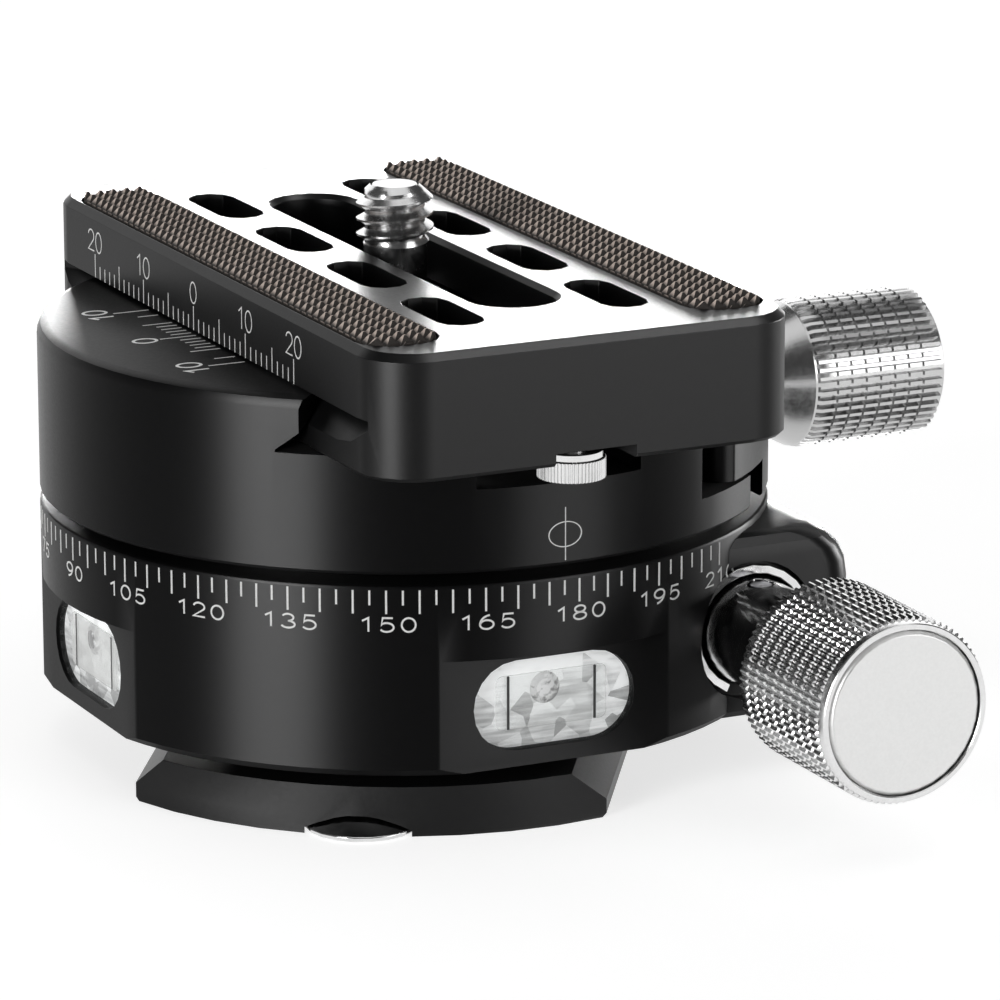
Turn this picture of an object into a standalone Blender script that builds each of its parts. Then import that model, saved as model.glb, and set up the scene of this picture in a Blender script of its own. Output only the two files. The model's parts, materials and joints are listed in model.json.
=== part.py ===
"""Geared panning adapter: a screw clamp that turns on a dovetail foot through a worm and wheel.

Metres, +Z up. The origin is on the pan axis, at the foot's underside. +X points along the
clamp screw toward its knob, and -Y along the worm toward the drive knob.
"""

import math

import bmesh
import bpy

# Fits and facets shared by all pieces
CLEARANCE = 0.0003
CUT_OVERRUN = 0.0020
FUSE_DEPTH = 0.0010
FINE_FUSE = 0.00025
CUT_LEAD = 0.0001
WELD_DISTANCE = 0.000001
BODY_STEPS = 72
ROUND_STEPS = 32
KNOB_STEPS = 26
SMALL_STEPS = 20
TINY_STEPS = 12
CORNER_STEPS = 5
EDGE_STEPS = 2
SMOOTH_ANGLE = math.radians(35)

# Round bodies
BODY_RADIUS = 0.0300
EDGE_CHAMFER = 0.0003

# Dovetail foot, long side at an angle to the clamp
FOOT_TURN = math.radians(-32.3)
FOOT_HALF_WIDTH = 0.01903
FOOT_SET_BACK = 0.0014
FOOT_SIDE_HEIGHT = 0.0015
FOOT_HEIGHT = 0.0041
FOOT_EDGE = 0.0003
FOOT_BOSS_RADIUS = 0.0160
FOOT_BOSS_HEIGHT = 0.0009
FOOT_END_STEPS = 10

# Screws through the foot into the housing
FOOT_SCREW_PLACE = 0.0092
FOOT_SCREW_RADIUS = 0.0019
FOOT_SCREW_HEAD_RADIUS = 0.0036
FOOT_SCREW_HEAD_DROP = 0.0001
FOOT_SCREW_LENGTH = 0.0082

# Stop screws at the foot's ends
FOOT_STOP_INSET = 0.0026
FOOT_STOP_RADIUS = 0.0046
FOOT_STOP_LIFT = 0.0001
FOOT_STOP_RIM = 0.0004
FOOT_STOP_CONE_HEIGHT = 0.0013
FOOT_STOP_STEM_RADIUS = 0.0014
FOOT_STOP_STEM_LENGTH = 0.0018

# Threaded bush for the tripod screw
BUSH_BORE_RADIUS = 0.0040
BUSH_RADIUS = 0.0060
BUSH_FLANGE_RADIUS = 0.0085
BUSH_FLANGE_HEIGHT = 0.0010
BUSH_LIFT = 0.0001
BUSH_LEDGE_HEIGHT = 0.0035

# Lower housing
HOUSING_HEIGHT = 0.01565
HOUSING_FOOT_ROUND = 0.0006
FLAT_DEPTH = 0.0017
FLAT_HEIGHT = 0.0094
CAVITY_RADIUS = 0.0175
CAVITY_FLOOR = 0.0038
SPINDLE_BORE_RADIUS = 0.0099
TOP_RIM_WALL = 0.0031
TOP_RECESS_DEPTH = 0.00175

# Lug that carries the worm
LUG_FRONT_SET_BACK = 0.0056
LUG_SIDE_SET_BACK = 0.0005
LUG_INNER_X = 0.0120
LUG_INNER_Y = 0.0020
LUG_HEIGHT = 0.0151
LUG_SIDE_ROUND = 0.0045
LUG_FRONT_ROUND = 0.0016
LUG_CORNER_ROUND = 0.0030

# Level vials behind stadium windows
WINDOW_LENGTH = 0.0141
WINDOW_WIDTH = 0.0074
WINDOW_HEIGHT = 0.00503
WINDOW_DEPTH = 0.0074
VIAL_BLOCK_SET_BACK = 0.0003
VIAL_RADIUS = 0.0016
VIAL_LENGTH = 0.0120
VIAL_EDGE = 0.0005
VIAL_DEPTH = 0.0034

# Worm and wheel
WHEEL_TEETH = 40
GEAR_MODULE = 0.0008
WORM_PITCH_RADIUS = 0.0035
TOOTH_DEPTH_BELOW = 0.0010
BACKLASH = 0.00036
PRESSURE_ANGLE = math.radians(20)
WORM_HEIGHT = 0.0126
WORM_THREAD_LENGTH = 0.0126
WORM_CORE_LENGTH = 0.0160
WORM_TAPER_SHARE = 0.06
THREAD_STEPS = 12
WHEEL_WIDTH = 0.0042
WHEEL_HUB_RADIUS = 0.0120
WHEEL_HUB_HEIGHT = 0.0033
WHEEL_LEVELS = 1

# Worm shaft, its sleeve and its rear bush
SHAFT_RADIUS = 0.0022
SHAFT_TAIL_RADIUS = 0.0020
SLEEVE_RADIUS = 0.00446
SLEEVE_OFFSET = 0.0002
SLEEVE_REACH = 0.0120
SLEEVE_BACK = 0.0130
REAR_BUSH_START = 0.0120
REAR_BUSH_LENGTH = 0.0037
CIRCLIP_WIDTH = 0.00069
CIRCLIP_THICKNESS = 0.0008
CIRCLIP_STAND_OFF = 0.0001
CIRCLIP_OPENING = math.radians(50)
CIRCLIP_EAR_RADIUS = 0.0011
CIRCLIP_TURN = math.radians(-90)
SLEEVE_GRUB_REACH = 0.0018
SLEEVE_GRUB_RADIUS = 0.0009
SLEEVE_GRUB_SET_BACK = 0.00016

# Drive knob on the worm
DRIVE_KNOB_GAP = 0.0004
DRIVE_KNOB_LENGTH = 0.0133
DRIVE_KNOB_RADIUS = 0.00753
DRIVE_KNOB_RIM_RADIUS = 0.00718
DRIVE_KNOB_FRONT_ROUND = 0.0006
DRIVE_KNOB_CAP_RADIUS = 0.00662
DRIVE_KNOB_CAP_THICKNESS = 0.0009
DRIVE_KNOB_RIBS = 32
DRIVE_KNOB_RIB_DEPTH = 0.00022
DRIVE_SHAFT_DEPTH = 0.0086
DRIVE_WEB = 0.0014
DRIVE_SCREW_HEAD_RADIUS = 0.0026
DRIVE_SCREW_HEAD_HEIGHT = 0.0011
DRIVE_SCREW_RADIUS = 0.0012
DRIVE_SCREW_DEPTH = 0.0060

# Upper body and the jaws
UPPER_BOTTOM = 0.0218
UPPER_HEIGHT = 0.0141
UPPER_TOP_ROUND = 0.0010
SPIGOT_GAP = 0.0004
SPIGOT_HEIGHT = 0.0012
CHANNEL_DEPTH = 0.00455
JAW_REACH = 0.0172
MOVING_JAW_REACH = 0.0165
JAW_LIP = 0.00067
JAW_UNDERCUT = 0.00368
BLOCK_SIDE = 0.0139
DECK_DEPTH = 0.0112
STEP_DEPTH = 0.0144
TROUGH_HALF_WIDTH = 0.0050
TROUGH_DEPTH = 0.0133
POCKET_HALF_WIDTH = 0.00715
POCKET_DEPTH = 0.00735
NOSE_END = 0.0205
NOSE_ROUND = 0.00235

# Moving jaw
JAW_INNER_FACE = 0.01585
JAW_CORNER_ROUND = 0.00185
JAW_SKIRT_THICKNESS = 0.00635
JAW_SKIRT_GAP = 0.00272
TONGUE_LENGTH = 0.00475
JAW_TRAVEL = 0.0032
GUIDE_PIN_RADIUS = 0.00125
GUIDE_PIN_PLACE = 0.0150
GUIDE_PIN_HEIGHT = 0.0280
GUIDE_PIN_BODY_DEPTH = 0.0053
GUIDE_PIN_JAW_DEPTH = 0.0042

# Screws that hold the upper body to the spindle
BODY_SCREW_X = 0.0105
BODY_SCREW_Y = 0.0062
BODY_SCREW_RADIUS = 0.0015
BODY_SCREW_HEAD_RADIUS = 0.0025
BODY_SCREW_HEAD_HEIGHT = 0.0026
BODY_SCREW_HEAD_DROP = 0.00025
BODY_SCREW_LENGTH = 0.0098

# Spindle, its bush, nut, washer and key
SPINDLE_FLANGE_RADIUS = 0.0163
SPINDLE_FLANGE_HEIGHT = 0.0020
SPINDLE_HUB_RADIUS = 0.0090
SPINDLE_JOURNAL_RADIUS = 0.0075
SPINDLE_TAIL_RADIUS = 0.0060
SPINDLE_BOTTOM = 0.0056
SPINDLE_BUSH_WALL = 0.0018
SPINDLE_BUSH_LENGTH = 0.0022
SPINDLE_BUSH_FLANGE_RADIUS = 0.0120
SPINDLE_BUSH_FLANGE_HEIGHT = 0.0008
NUT_RADIUS = 0.0094
NUT_HEIGHT = 0.0015
NUT_NOTCH_WIDTH = 0.0024
NUT_NOTCH_DEPTH = 0.0014
WASHER_BAND = 0.0086
WASHER_RIM_GAP = 0.0006
WASHER_THICKNESS = 0.00085
KEY_WIDTH = 0.0020
KEY_IN_SPINDLE = 0.0010
KEY_IN_WHEEL = 0.0010
KEY_END_GAP = 0.0005

# Clamp screw and its knob
CLAMP_HEIGHT = 0.0269
CLAMP_SCREW_RADIUS = 0.0025
CLAMP_SCREW_TIP = -0.0045
CLAMP_SCREW_REACH = 0.0085
CLIP_GROOVE_DEPTH = 0.0005
CLIP_THICKNESS = 0.0008
CLIP_RADIUS = 0.0039
CLIP_OPENING = math.radians(100)
SPOTFACE_RADIUS = 0.0048
SPOTFACE_DEPTH = 0.0008
KNOB_WASHER_RADIUS = 0.0043
KNOB_WASHER_THICKNESS = 0.0007
CLAMP_KNOB_GAP = 0.0005
CLAMP_KNOB_NECK_RADIUS = 0.0044
CLAMP_KNOB_SHOULDER_RADIUS = 0.00615
CLAMP_KNOB_TAPER_LENGTH = 0.0047
CLAMP_KNOB_NECK_FLAT = 0.0004
CLAMP_KNOB_SHOULDER_LENGTH = 0.0049
CLAMP_KNOB_RIB_LENGTH = 0.0119
CLAMP_KNOB_RADIUS = 0.0063
CLAMP_KNOB_RIB_DEPTH = 0.00035
CLAMP_KNOB_RIBS = 50
CLAMP_KNOB_RIM_LENGTH = 0.0005
CLAMP_KNOB_RIM_RADIUS = 0.00573
CLAMP_KNOB_DISH_RADIUS = 0.0046
CLAMP_KNOB_DISH_DEPTH = 0.0005
CLAMP_KNOB_CORE_RADIUS = 0.0055
CLAMP_KNOB_RIM_LAP = 0.0002
NECK_STEPS = 5
NECK_CURVE = 0.8

# Quick-release plate
PLATE_X = -0.00035
PLATE_Y = -0.0021
PLATE_WIDTH = 0.0363
PLATE_LENGTH = 0.0686
PLATE_HEIGHT = 0.01001
PLATE_CORNER = 0.0045
PLATE_TOP_CHAMFER = 0.0006
PLATE_FOOT_CHAMFER = 0.0003
GROOVE_START = 0.00195
GROOVE_DEPTH = 0.0019
GROOVE_TOP = 0.00453
GROOVE_CUTTER_RADIUS = 0.0080
GROOVE_HALF_LENGTH = 0.0259
GROOVE_LEAD = 0.0003
SLOT_HALF_WIDTH = 0.0035
SLOT_HALF_LENGTH = 0.0228
SLOT_CHAMFER = 0.0004
SLOT_LEDGE = 0.00635
SLOT_LOWER_HALF_WIDTH = 0.0046
SMALL_SLOT_WIDTH = 0.0039
SMALL_SLOT_LENGTH = 0.0103
SMALL_SLOT_X = 0.0071
SMALL_SLOT_INNER_Y = 0.0072
SMALL_SLOT_OUTER_Y = 0.0215
GRIP_X = 0.0140
GRIP_WIDTH = 0.0064
GRIP_LENGTH = 0.0608
GRIP_RECESS = 0.0012
GRIP_STAND_PROUD = 0.00055
GRIP_FIT = 0.00025
GRIP_EDGE = 0.0004
GRIP_CORNER = 0.0026
NOTCH_HALF_WIDTH = 0.00344
NOTCH_HEIGHT = 0.00105
NOTCH_LENGTH = 0.0088

# Stop screws under the plate
STOP_INSET = 0.0044
PLATE_TRAVEL = 0.0054
STOP_RADIUS = 0.0027
STOP_BOTTOM = 0.0295
STOP_HEAD_HEIGHT = 0.0024
STOP_KNURL_HEIGHT = 0.0018
STOP_GROOVE = 0.0002
STOP_STEM_RADIUS = 0.00125
STOP_STEM_LENGTH = 0.0041

# Camera screw and its retainer
CAMERA_SCREW_Y = 0.0008
CAMERA_HEAD_RADIUS = 0.0043
CAMERA_HEAD_DROP = 0.00075
CAMERA_HEAD_HEIGHT = 0.0045
CAMERA_NECK_RADIUS = 0.0026
CAMERA_THREAD_RADIUS = 0.00317
CAMERA_THREAD_START = 0.0420
CAMERA_SCREW_TOP = 0.0465
CAMERA_TIP_RADIUS = 0.0020
CAMERA_TIP_HEIGHT = 0.0011
CAMERA_SLOT_WIDTH = 0.0014
CAMERA_SLOT_DEPTH = 0.0014
RETAINER_THICKNESS = 0.0006
RETAINER_GAP = 0.0002

# Sizes that follow from the round body
FOOT_END_RADIUS = BODY_RADIUS - FOOT_SET_BACK
FOOT_STOP_PLACE = FOOT_END_RADIUS - FOOT_STOP_INSET
FLAT_DISTANCE = BODY_RADIUS - FLAT_DEPTH
TOP_RECESS_RADIUS = BODY_RADIUS - TOP_RIM_WALL
WASHER_BORE_RADIUS = TOP_RECESS_RADIUS - WASHER_BAND
SPIGOT_RADIUS = TOP_RECESS_RADIUS - SPIGOT_GAP
LUG_FRONT = BODY_RADIUS - LUG_FRONT_SET_BACK
LUG_SIDE = BODY_RADIUS - LUG_SIDE_SET_BACK
SLEEVE_FRONT = LUG_FRONT + SLEEVE_REACH
SLEEVE_GRUB_PLACE = LUG_FRONT + SLEEVE_GRUB_REACH
DRIVE_KNOB_BACK = SLEEVE_FRONT + DRIVE_KNOB_GAP
JAW_SKIRT_SIDE = BODY_RADIUS - JAW_SKIRT_THICKNESS
DECK_SIDE = JAW_SKIRT_SIDE - JAW_SKIRT_GAP
CLAMP_KNOB_START = BODY_RADIUS + CLAMP_KNOB_GAP
CLAMP_SCREW_END = CLAMP_KNOB_START + CLAMP_SCREW_REACH
CLAMP_KNOB_RIB_START = CLAMP_KNOB_START + CLAMP_KNOB_SHOULDER_LENGTH
CLAMP_KNOB_RIB_END = CLAMP_KNOB_RIB_START + CLAMP_KNOB_RIB_LENGTH
CLAMP_KNOB_END = CLAMP_KNOB_RIB_END + CLAMP_KNOB_RIM_LENGTH

# Places that follow from the plate and its travel
STOP_PLACE = PLATE_LENGTH / 2 - STOP_INSET
POCKET_END = STOP_PLACE - STOP_RADIUS - PLATE_TRAVEL - CLEARANCE

# Levels that several pieces share
HOUSING_BOTTOM = FOOT_HEIGHT + FOOT_BOSS_HEIGHT + CLEARANCE
HOUSING_TOP = HOUSING_BOTTOM + HOUSING_HEIGHT
CAVITY_LEVEL = HOUSING_BOTTOM + CAVITY_FLOOR
LEDGE_LEVEL = HOUSING_TOP - TOP_RECESS_DEPTH
WINDOW_LEVEL = HOUSING_BOTTOM + WINDOW_HEIGHT
UPPER_TOP = UPPER_BOTTOM + UPPER_HEIGHT
SPIGOT_BOTTOM = UPPER_BOTTOM - SPIGOT_HEIGHT
CHANNEL_LEVEL = UPPER_TOP - CHANNEL_DEPTH
DECK_LEVEL = UPPER_TOP - DECK_DEPTH
STEP_LEVEL = UPPER_TOP - STEP_DEPTH
TROUGH_LEVEL = UPPER_TOP - TROUGH_DEPTH
PLATE_BOTTOM = CHANNEL_LEVEL + CLEARANCE
PLATE_TOP = PLATE_BOTTOM + PLATE_HEIGHT

# Gear sizes that follow from the module
GEAR_PITCH = math.pi * GEAR_MODULE
WHEEL_PITCH_RADIUS = WHEEL_TEETH * GEAR_MODULE / 2
WHEEL_OUTER_RADIUS = WHEEL_PITCH_RADIUS + GEAR_MODULE
WHEEL_ROOT_RADIUS = WHEEL_PITCH_RADIUS - TOOTH_DEPTH_BELOW
WORM_OUTER_RADIUS = WORM_PITCH_RADIUS + GEAR_MODULE
WORM_CORE_RADIUS = WORM_PITCH_RADIUS - TOOTH_DEPTH_BELOW
WORM_X = WHEEL_PITCH_RADIUS + WORM_PITCH_RADIUS
LEAD_ANGLE = math.atan(GEAR_MODULE / 2 / WORM_PITCH_RADIUS)
TOOTH_THICKNESS = (GEAR_PITCH - BACKLASH) / 2
WORM_BORE_RADIUS = SLEEVE_RADIUS + CLEARANCE
WHEEL_BOTTOM = WORM_HEIGHT - WHEEL_WIDTH / 2
SPINDLE_TOP = SPIGOT_BOTTOM - CLEARANCE
FLANGE_BOTTOM = SPINDLE_TOP - SPINDLE_FLANGE_HEIGHT

QUARTER = math.radians(90)


# Building blocks
def clear_scene():
    for old in list(bpy.data.objects):
        bpy.data.objects.remove(old, do_unlink=True)


def add_finish(name, colour, roughness, metallic):
    finish = bpy.data.materials.new(name)
    finish.use_nodes = True
    shader = finish.node_tree.nodes["Principled BSDF"]
    shader.inputs["Base Color"].default_value = (*colour, 1)
    shader.inputs["Roughness"].default_value = roughness
    shader.inputs["Metallic"].default_value = metallic
    return finish


def add_frame(name, place=(0, 0, 0), turn=(0, 0, 0), carrier=None):
    """An empty on a joint's axis, or on a group's own centre line."""
    empty = bpy.data.objects.new(name, None)
    empty.location = place
    empty.rotation_euler = turn
    empty.parent = carrier
    bpy.context.scene.collection.objects.link(empty)
    return empty


def add_piece(name, mesh, finish, carrier, place=(0, 0, 0), turn=(0, 0, 0)):
    """A named object, placed in its carrier's coordinates."""
    bmesh.ops.recalc_face_normals(mesh, faces=mesh.faces)
    data = bpy.data.meshes.new(name)
    mesh.to_mesh(data)
    mesh.free()
    if finish:
        data.materials.append(finish)
    data.shade_smooth()
    data.set_sharp_from_angle(angle=SMOOTH_ANGLE)
    piece = bpy.data.objects.new(name, data)
    piece.location = place
    piece.rotation_euler = turn
    piece.parent = carrier
    bpy.context.scene.collection.objects.link(piece)
    return piece


def shape_with(piece, operation, mesh, carrier=None, place=(0, 0, 0), turn=(0, 0, 0)):
    """A Boolean on the piece with a hidden tool, by default in the piece's own coordinates."""
    tool_name = f"tool_{piece.name}_{len(piece.modifiers)}"
    tool = add_piece(tool_name, mesh, None, carrier or piece.parent, place, turn)
    tool.hide_render = True
    tool.display_type = "WIRE"
    step = piece.modifiers.new(tool_name, "BOOLEAN")
    step.operation = operation
    step.solver = "EXACT"
    step.object = tool


def turned(profile, steps=ROUND_STEPS, bored=False):
    """Spin (radius, height) points round Z. A bored profile is a closed loop off the axis."""
    mesh = bmesh.new()
    verts = [mesh.verts.new((radius, 0, height)) for radius, height in profile]
    edges = [mesh.edges.new(pair) for pair in zip(verts, verts[1:])]
    if bored:
        edges.append(mesh.edges.new((verts[-1], verts[0])))
    bmesh.ops.spin(mesh, geom=verts + edges, cent=(0, 0, 0), axis=(0, 0, 1),
                   angle=math.tau, steps=steps, use_merge=True)
    bmesh.ops.remove_doubles(mesh, verts=mesh.verts, dist=WELD_DISTANCE)
    return mesh


def loft(levels):
    """Skin a solid through (outline, height) levels whose outlines have equal counts."""
    mesh = bmesh.new()
    rings = [[mesh.verts.new((x, y, height)) for x, y in outline] for outline, height in levels]
    for lower, upper in zip(rings, rings[1:]):
        for here in range(len(lower)):
            after = (here + 1) % len(lower)
            mesh.faces.new((lower[here], lower[after], upper[after], upper[here]))
    mesh.faces.new(list(reversed(rings[0])))
    mesh.faces.new(rings[-1])
    return mesh


def prism(outline, low, high):
    return loft([(outline, low), (outline, high)])


def rod(radius, low, high, steps=SMALL_STEPS):
    return turned([(0, low), (radius, low), (radius, high), (0, high)], steps)


def box(low_x, high_x, low_y, high_y, low_z, high_z):
    return prism([(low_x, low_y), (high_x, low_y), (high_x, high_y), (low_x, high_y)], low_z, high_z)


def arc(centre, radius, start, end, steps):
    """Points on an arc, both ends included. Angles in radians, counter-clockwise from +X."""
    angles = [start + (end - start) * step / steps for step in range(steps + 1)]
    return [(centre[0] + radius * math.cos(a), centre[1] + radius * math.sin(a)) for a in angles]


def stadium(start, end, radius, steps=CORNER_STEPS * 2):
    """A slot outline: two half circles round its two centres."""
    along = math.atan2(end[1] - start[1], end[0] - start[0])
    far_end = arc(end, radius, along - QUARTER, along + QUARTER, steps)
    near_end = arc(start, radius, along + QUARTER, along + 3 * QUARTER, steps)
    return far_end + near_end


def rounded_rectangle(low_x, high_x, low_y, high_y, radius, steps=CORNER_STEPS):
    outline = []
    centres = [(high_x - radius, high_y - radius), (low_x + radius, high_y - radius),
               (low_x + radius, low_y + radius), (high_x - radius, low_y + radius)]
    for corner, centre in enumerate(centres):
        outline += arc(centre, radius, corner * QUARTER, (corner + 1) * QUARTER, steps)
    return outline


def open_ring(inner, outer, opening, facing, steps=SMALL_STEPS):
    """A C-shaped outline whose gap faces the given angle."""
    start = facing + opening / 2
    end = facing + math.tau - opening / 2
    return arc((0, 0), outer, start, end, steps) + arc((0, 0), inner, end, start, steps)


def rounded_disc_profile(radius, low, high, low_round, high_round):
    """Half section of a disc with a chamfered foot and a rounded top edge."""
    top_edge = arc((radius - high_round, high - high_round), high_round, 0, QUARTER, EDGE_STEPS)
    return [(0, low), (radius - low_round, low), (radius, low + low_round), *top_edge, (0, high)]


def ribbed(rings, ribs):
    """Skin a ribbed body of revolution from (radius, rib depth, height) rings, with square ribs."""
    sectors = ribs * 4
    outlines = []
    for radius, depth, height in rings:
        outline = []
        for sector in range(sectors):
            angle = math.tau * (sector + 0.5 * (sector % 2)) / sectors
            reach = radius if sector % 4 < 2 else radius - depth
            outline.append((reach * math.cos(angle), reach * math.sin(angle)))
        outlines.append((outline, height))
    return loft(outlines)


# Foot
def foot_outline(half_width):
    """Long sides straight, ends on the foot's end circle."""
    reach = math.asin(half_width / FOOT_END_RADIUS)
    far_end = arc((0, 0), FOOT_END_RADIUS, QUARTER - reach, QUARTER + reach, FOOT_END_STEPS)
    near_end = arc((0, 0), FOOT_END_RADIUS, 3 * QUARTER - reach, 3 * QUARTER + reach, FOOT_END_STEPS)
    return far_end + near_end


def foot_screw_places():
    sides = (-FOOT_SCREW_PLACE, FOOT_SCREW_PLACE)
    return [(x, y) for x in sides for y in sides]


def foot_stop_levels():
    """Heights of the stop screw: underside, top of its rim, tip of its cone."""
    rim = FOOT_STOP_LIFT + FOOT_STOP_RIM
    return FOOT_STOP_LIFT, rim, rim + FOOT_STOP_CONE_HEIGHT


def add_dovetail_foot(finish, foot):
    slope_half_width = FOOT_HALF_WIDTH - (FOOT_HEIGHT - FOOT_SIDE_HEIGHT)
    piece = add_piece("dovetail_foot", loft([
        (foot_outline(FOOT_HALF_WIDTH - FOOT_EDGE), 0),
        (foot_outline(FOOT_HALF_WIDTH), FOOT_EDGE),
        (foot_outline(FOOT_HALF_WIDTH), FOOT_SIDE_HEIGHT),
        (foot_outline(slope_half_width), FOOT_HEIGHT),
    ]), finish, foot)
    boss_top = FOOT_HEIGHT + FOOT_BOSS_HEIGHT
    shape_with(piece, "UNION", rod(FOOT_BOSS_RADIUS, FOOT_HEIGHT - FUSE_DEPTH, boss_top, ROUND_STEPS))
    shape_with(piece, "DIFFERENCE", turned([
        (0, -CUT_OVERRUN),
        (BUSH_RADIUS + CLEARANCE, -CUT_OVERRUN),
        (BUSH_RADIUS + CLEARANCE, BUSH_LEDGE_HEIGHT),
        (BUSH_FLANGE_RADIUS + CLEARANCE, BUSH_LEDGE_HEIGHT),
        (BUSH_FLANGE_RADIUS + CLEARANCE, boss_top + CUT_OVERRUN),
        (0, boss_top + CUT_OVERRUN),
    ]))
    head = FOOT_SCREW_HEAD_RADIUS + CLEARANCE * math.sqrt(2)
    shank = FOOT_SCREW_RADIUS + CLEARANCE
    for x, y in foot_screw_places():
        shape_with(piece, "DIFFERENCE", turned([
            (0, -CUT_OVERRUN),
            (head + FOOT_SCREW_HEAD_DROP, -CUT_OVERRUN),
            (head + FOOT_SCREW_HEAD_DROP, 0),
            (shank, head + FOOT_SCREW_HEAD_DROP - shank),
            (shank, boss_top + CUT_OVERRUN),
            (0, boss_top + CUT_OVERRUN),
        ], TINY_STEPS), place=(x, y, 0))
    _, rim, tip = foot_stop_levels()
    for y in (-FOOT_STOP_PLACE, FOOT_STOP_PLACE):
        shape_with(piece, "DIFFERENCE", turned([
            (0, -CUT_OVERRUN),
            (FOOT_STOP_RADIUS + CLEARANCE, -CUT_OVERRUN),
            (FOOT_STOP_RADIUS + CLEARANCE, rim),
            (FOOT_STOP_STEM_RADIUS + CLEARANCE, tip + CLEARANCE),
            (FOOT_STOP_STEM_RADIUS + CLEARANCE, FOOT_HEIGHT - CLEARANCE),
            (0, FOOT_HEIGHT - CLEARANCE),
        ], SMALL_STEPS), place=(0, y, 0))


def add_foot_stop_screws(finish, foot):
    low, rim, tip = foot_stop_levels()
    for name, y in (("foot_stop_screw_front", -FOOT_STOP_PLACE), ("foot_stop_screw_rear", FOOT_STOP_PLACE)):
        add_piece(name, turned([
            (0, low),
            (FOOT_STOP_RADIUS - FOOT_STOP_LIFT, low),
            (FOOT_STOP_RADIUS, low + FOOT_STOP_LIFT),
            (FOOT_STOP_RADIUS, rim),
            (FOOT_STOP_STEM_RADIUS, tip),
            (FOOT_STOP_STEM_RADIUS, tip + FOOT_STOP_STEM_LENGTH),
            (0, tip + FOOT_STOP_STEM_LENGTH),
        ], SMALL_STEPS), finish, foot, place=(0, y, 0))


def add_foot_screws(finish, foot):
    head_low = FOOT_SCREW_HEAD_DROP
    head_top = head_low + FOOT_SCREW_HEAD_RADIUS - FOOT_SCREW_RADIUS
    for number, (x, y) in enumerate(foot_screw_places(), 1):
        add_piece(f"foot_screw_{number}", turned([
            (0, head_low),
            (FOOT_SCREW_HEAD_RADIUS, head_low),
            (FOOT_SCREW_RADIUS, head_top),
            (FOOT_SCREW_RADIUS, head_low + FOOT_SCREW_LENGTH),
            (0, head_low + FOOT_SCREW_LENGTH),
        ], TINY_STEPS), finish, foot, place=(x, y, 0))


def add_tripod_bush(finish, foot):
    ledge = BUSH_LEDGE_HEIGHT + CLEARANCE
    add_piece("tripod_bush", turned([
        (BUSH_BORE_RADIUS, BUSH_LIFT),
        (BUSH_RADIUS, BUSH_LIFT),
        (BUSH_RADIUS, ledge),
        (BUSH_FLANGE_RADIUS, ledge),
        (BUSH_FLANGE_RADIUS, ledge + BUSH_FLANGE_HEIGHT),
        (BUSH_BORE_RADIUS, ledge + BUSH_FLANGE_HEIGHT),
    ], SMALL_STEPS, bored=True), finish, foot)


# Lower housing
def lug_outline(side, front):
    """Plan of the lug with its outer front corner rounded."""
    centre = (side - LUG_CORNER_ROUND, LUG_CORNER_ROUND - front)
    corner = arc(centre, LUG_CORNER_ROUND, -QUARTER, 0, CORNER_STEPS)
    return [(LUG_INNER_X, -LUG_INNER_Y), (LUG_INNER_X, -front), *corner, (side, -LUG_INNER_Y)]


def lug_mesh():
    """Loft the lug so that its top rounds over wide at the side and tight at the front."""
    top = HOUSING_BOTTOM + LUG_HEIGHT
    levels = [(lug_outline(LUG_SIDE - HOUSING_FOOT_ROUND, LUG_FRONT - HOUSING_FOOT_ROUND), HOUSING_BOTTOM),
              (lug_outline(LUG_SIDE, LUG_FRONT), HOUSING_BOTTOM + HOUSING_FOOT_ROUND)]
    for step in range(CORNER_STEPS + 1):
        lean = QUARTER * step / CORNER_STEPS
        height = top - LUG_SIDE_ROUND * (1 - math.sin(lean))
        side = LUG_SIDE - LUG_SIDE_ROUND * (1 - math.cos(lean))
        above = max(0, height - (top - LUG_FRONT_ROUND))
        front = LUG_FRONT - LUG_FRONT_ROUND + math.sqrt(max(0, LUG_FRONT_ROUND ** 2 - above ** 2))
        levels.append((lug_outline(side, front), height))
    return loft(levels)


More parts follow.
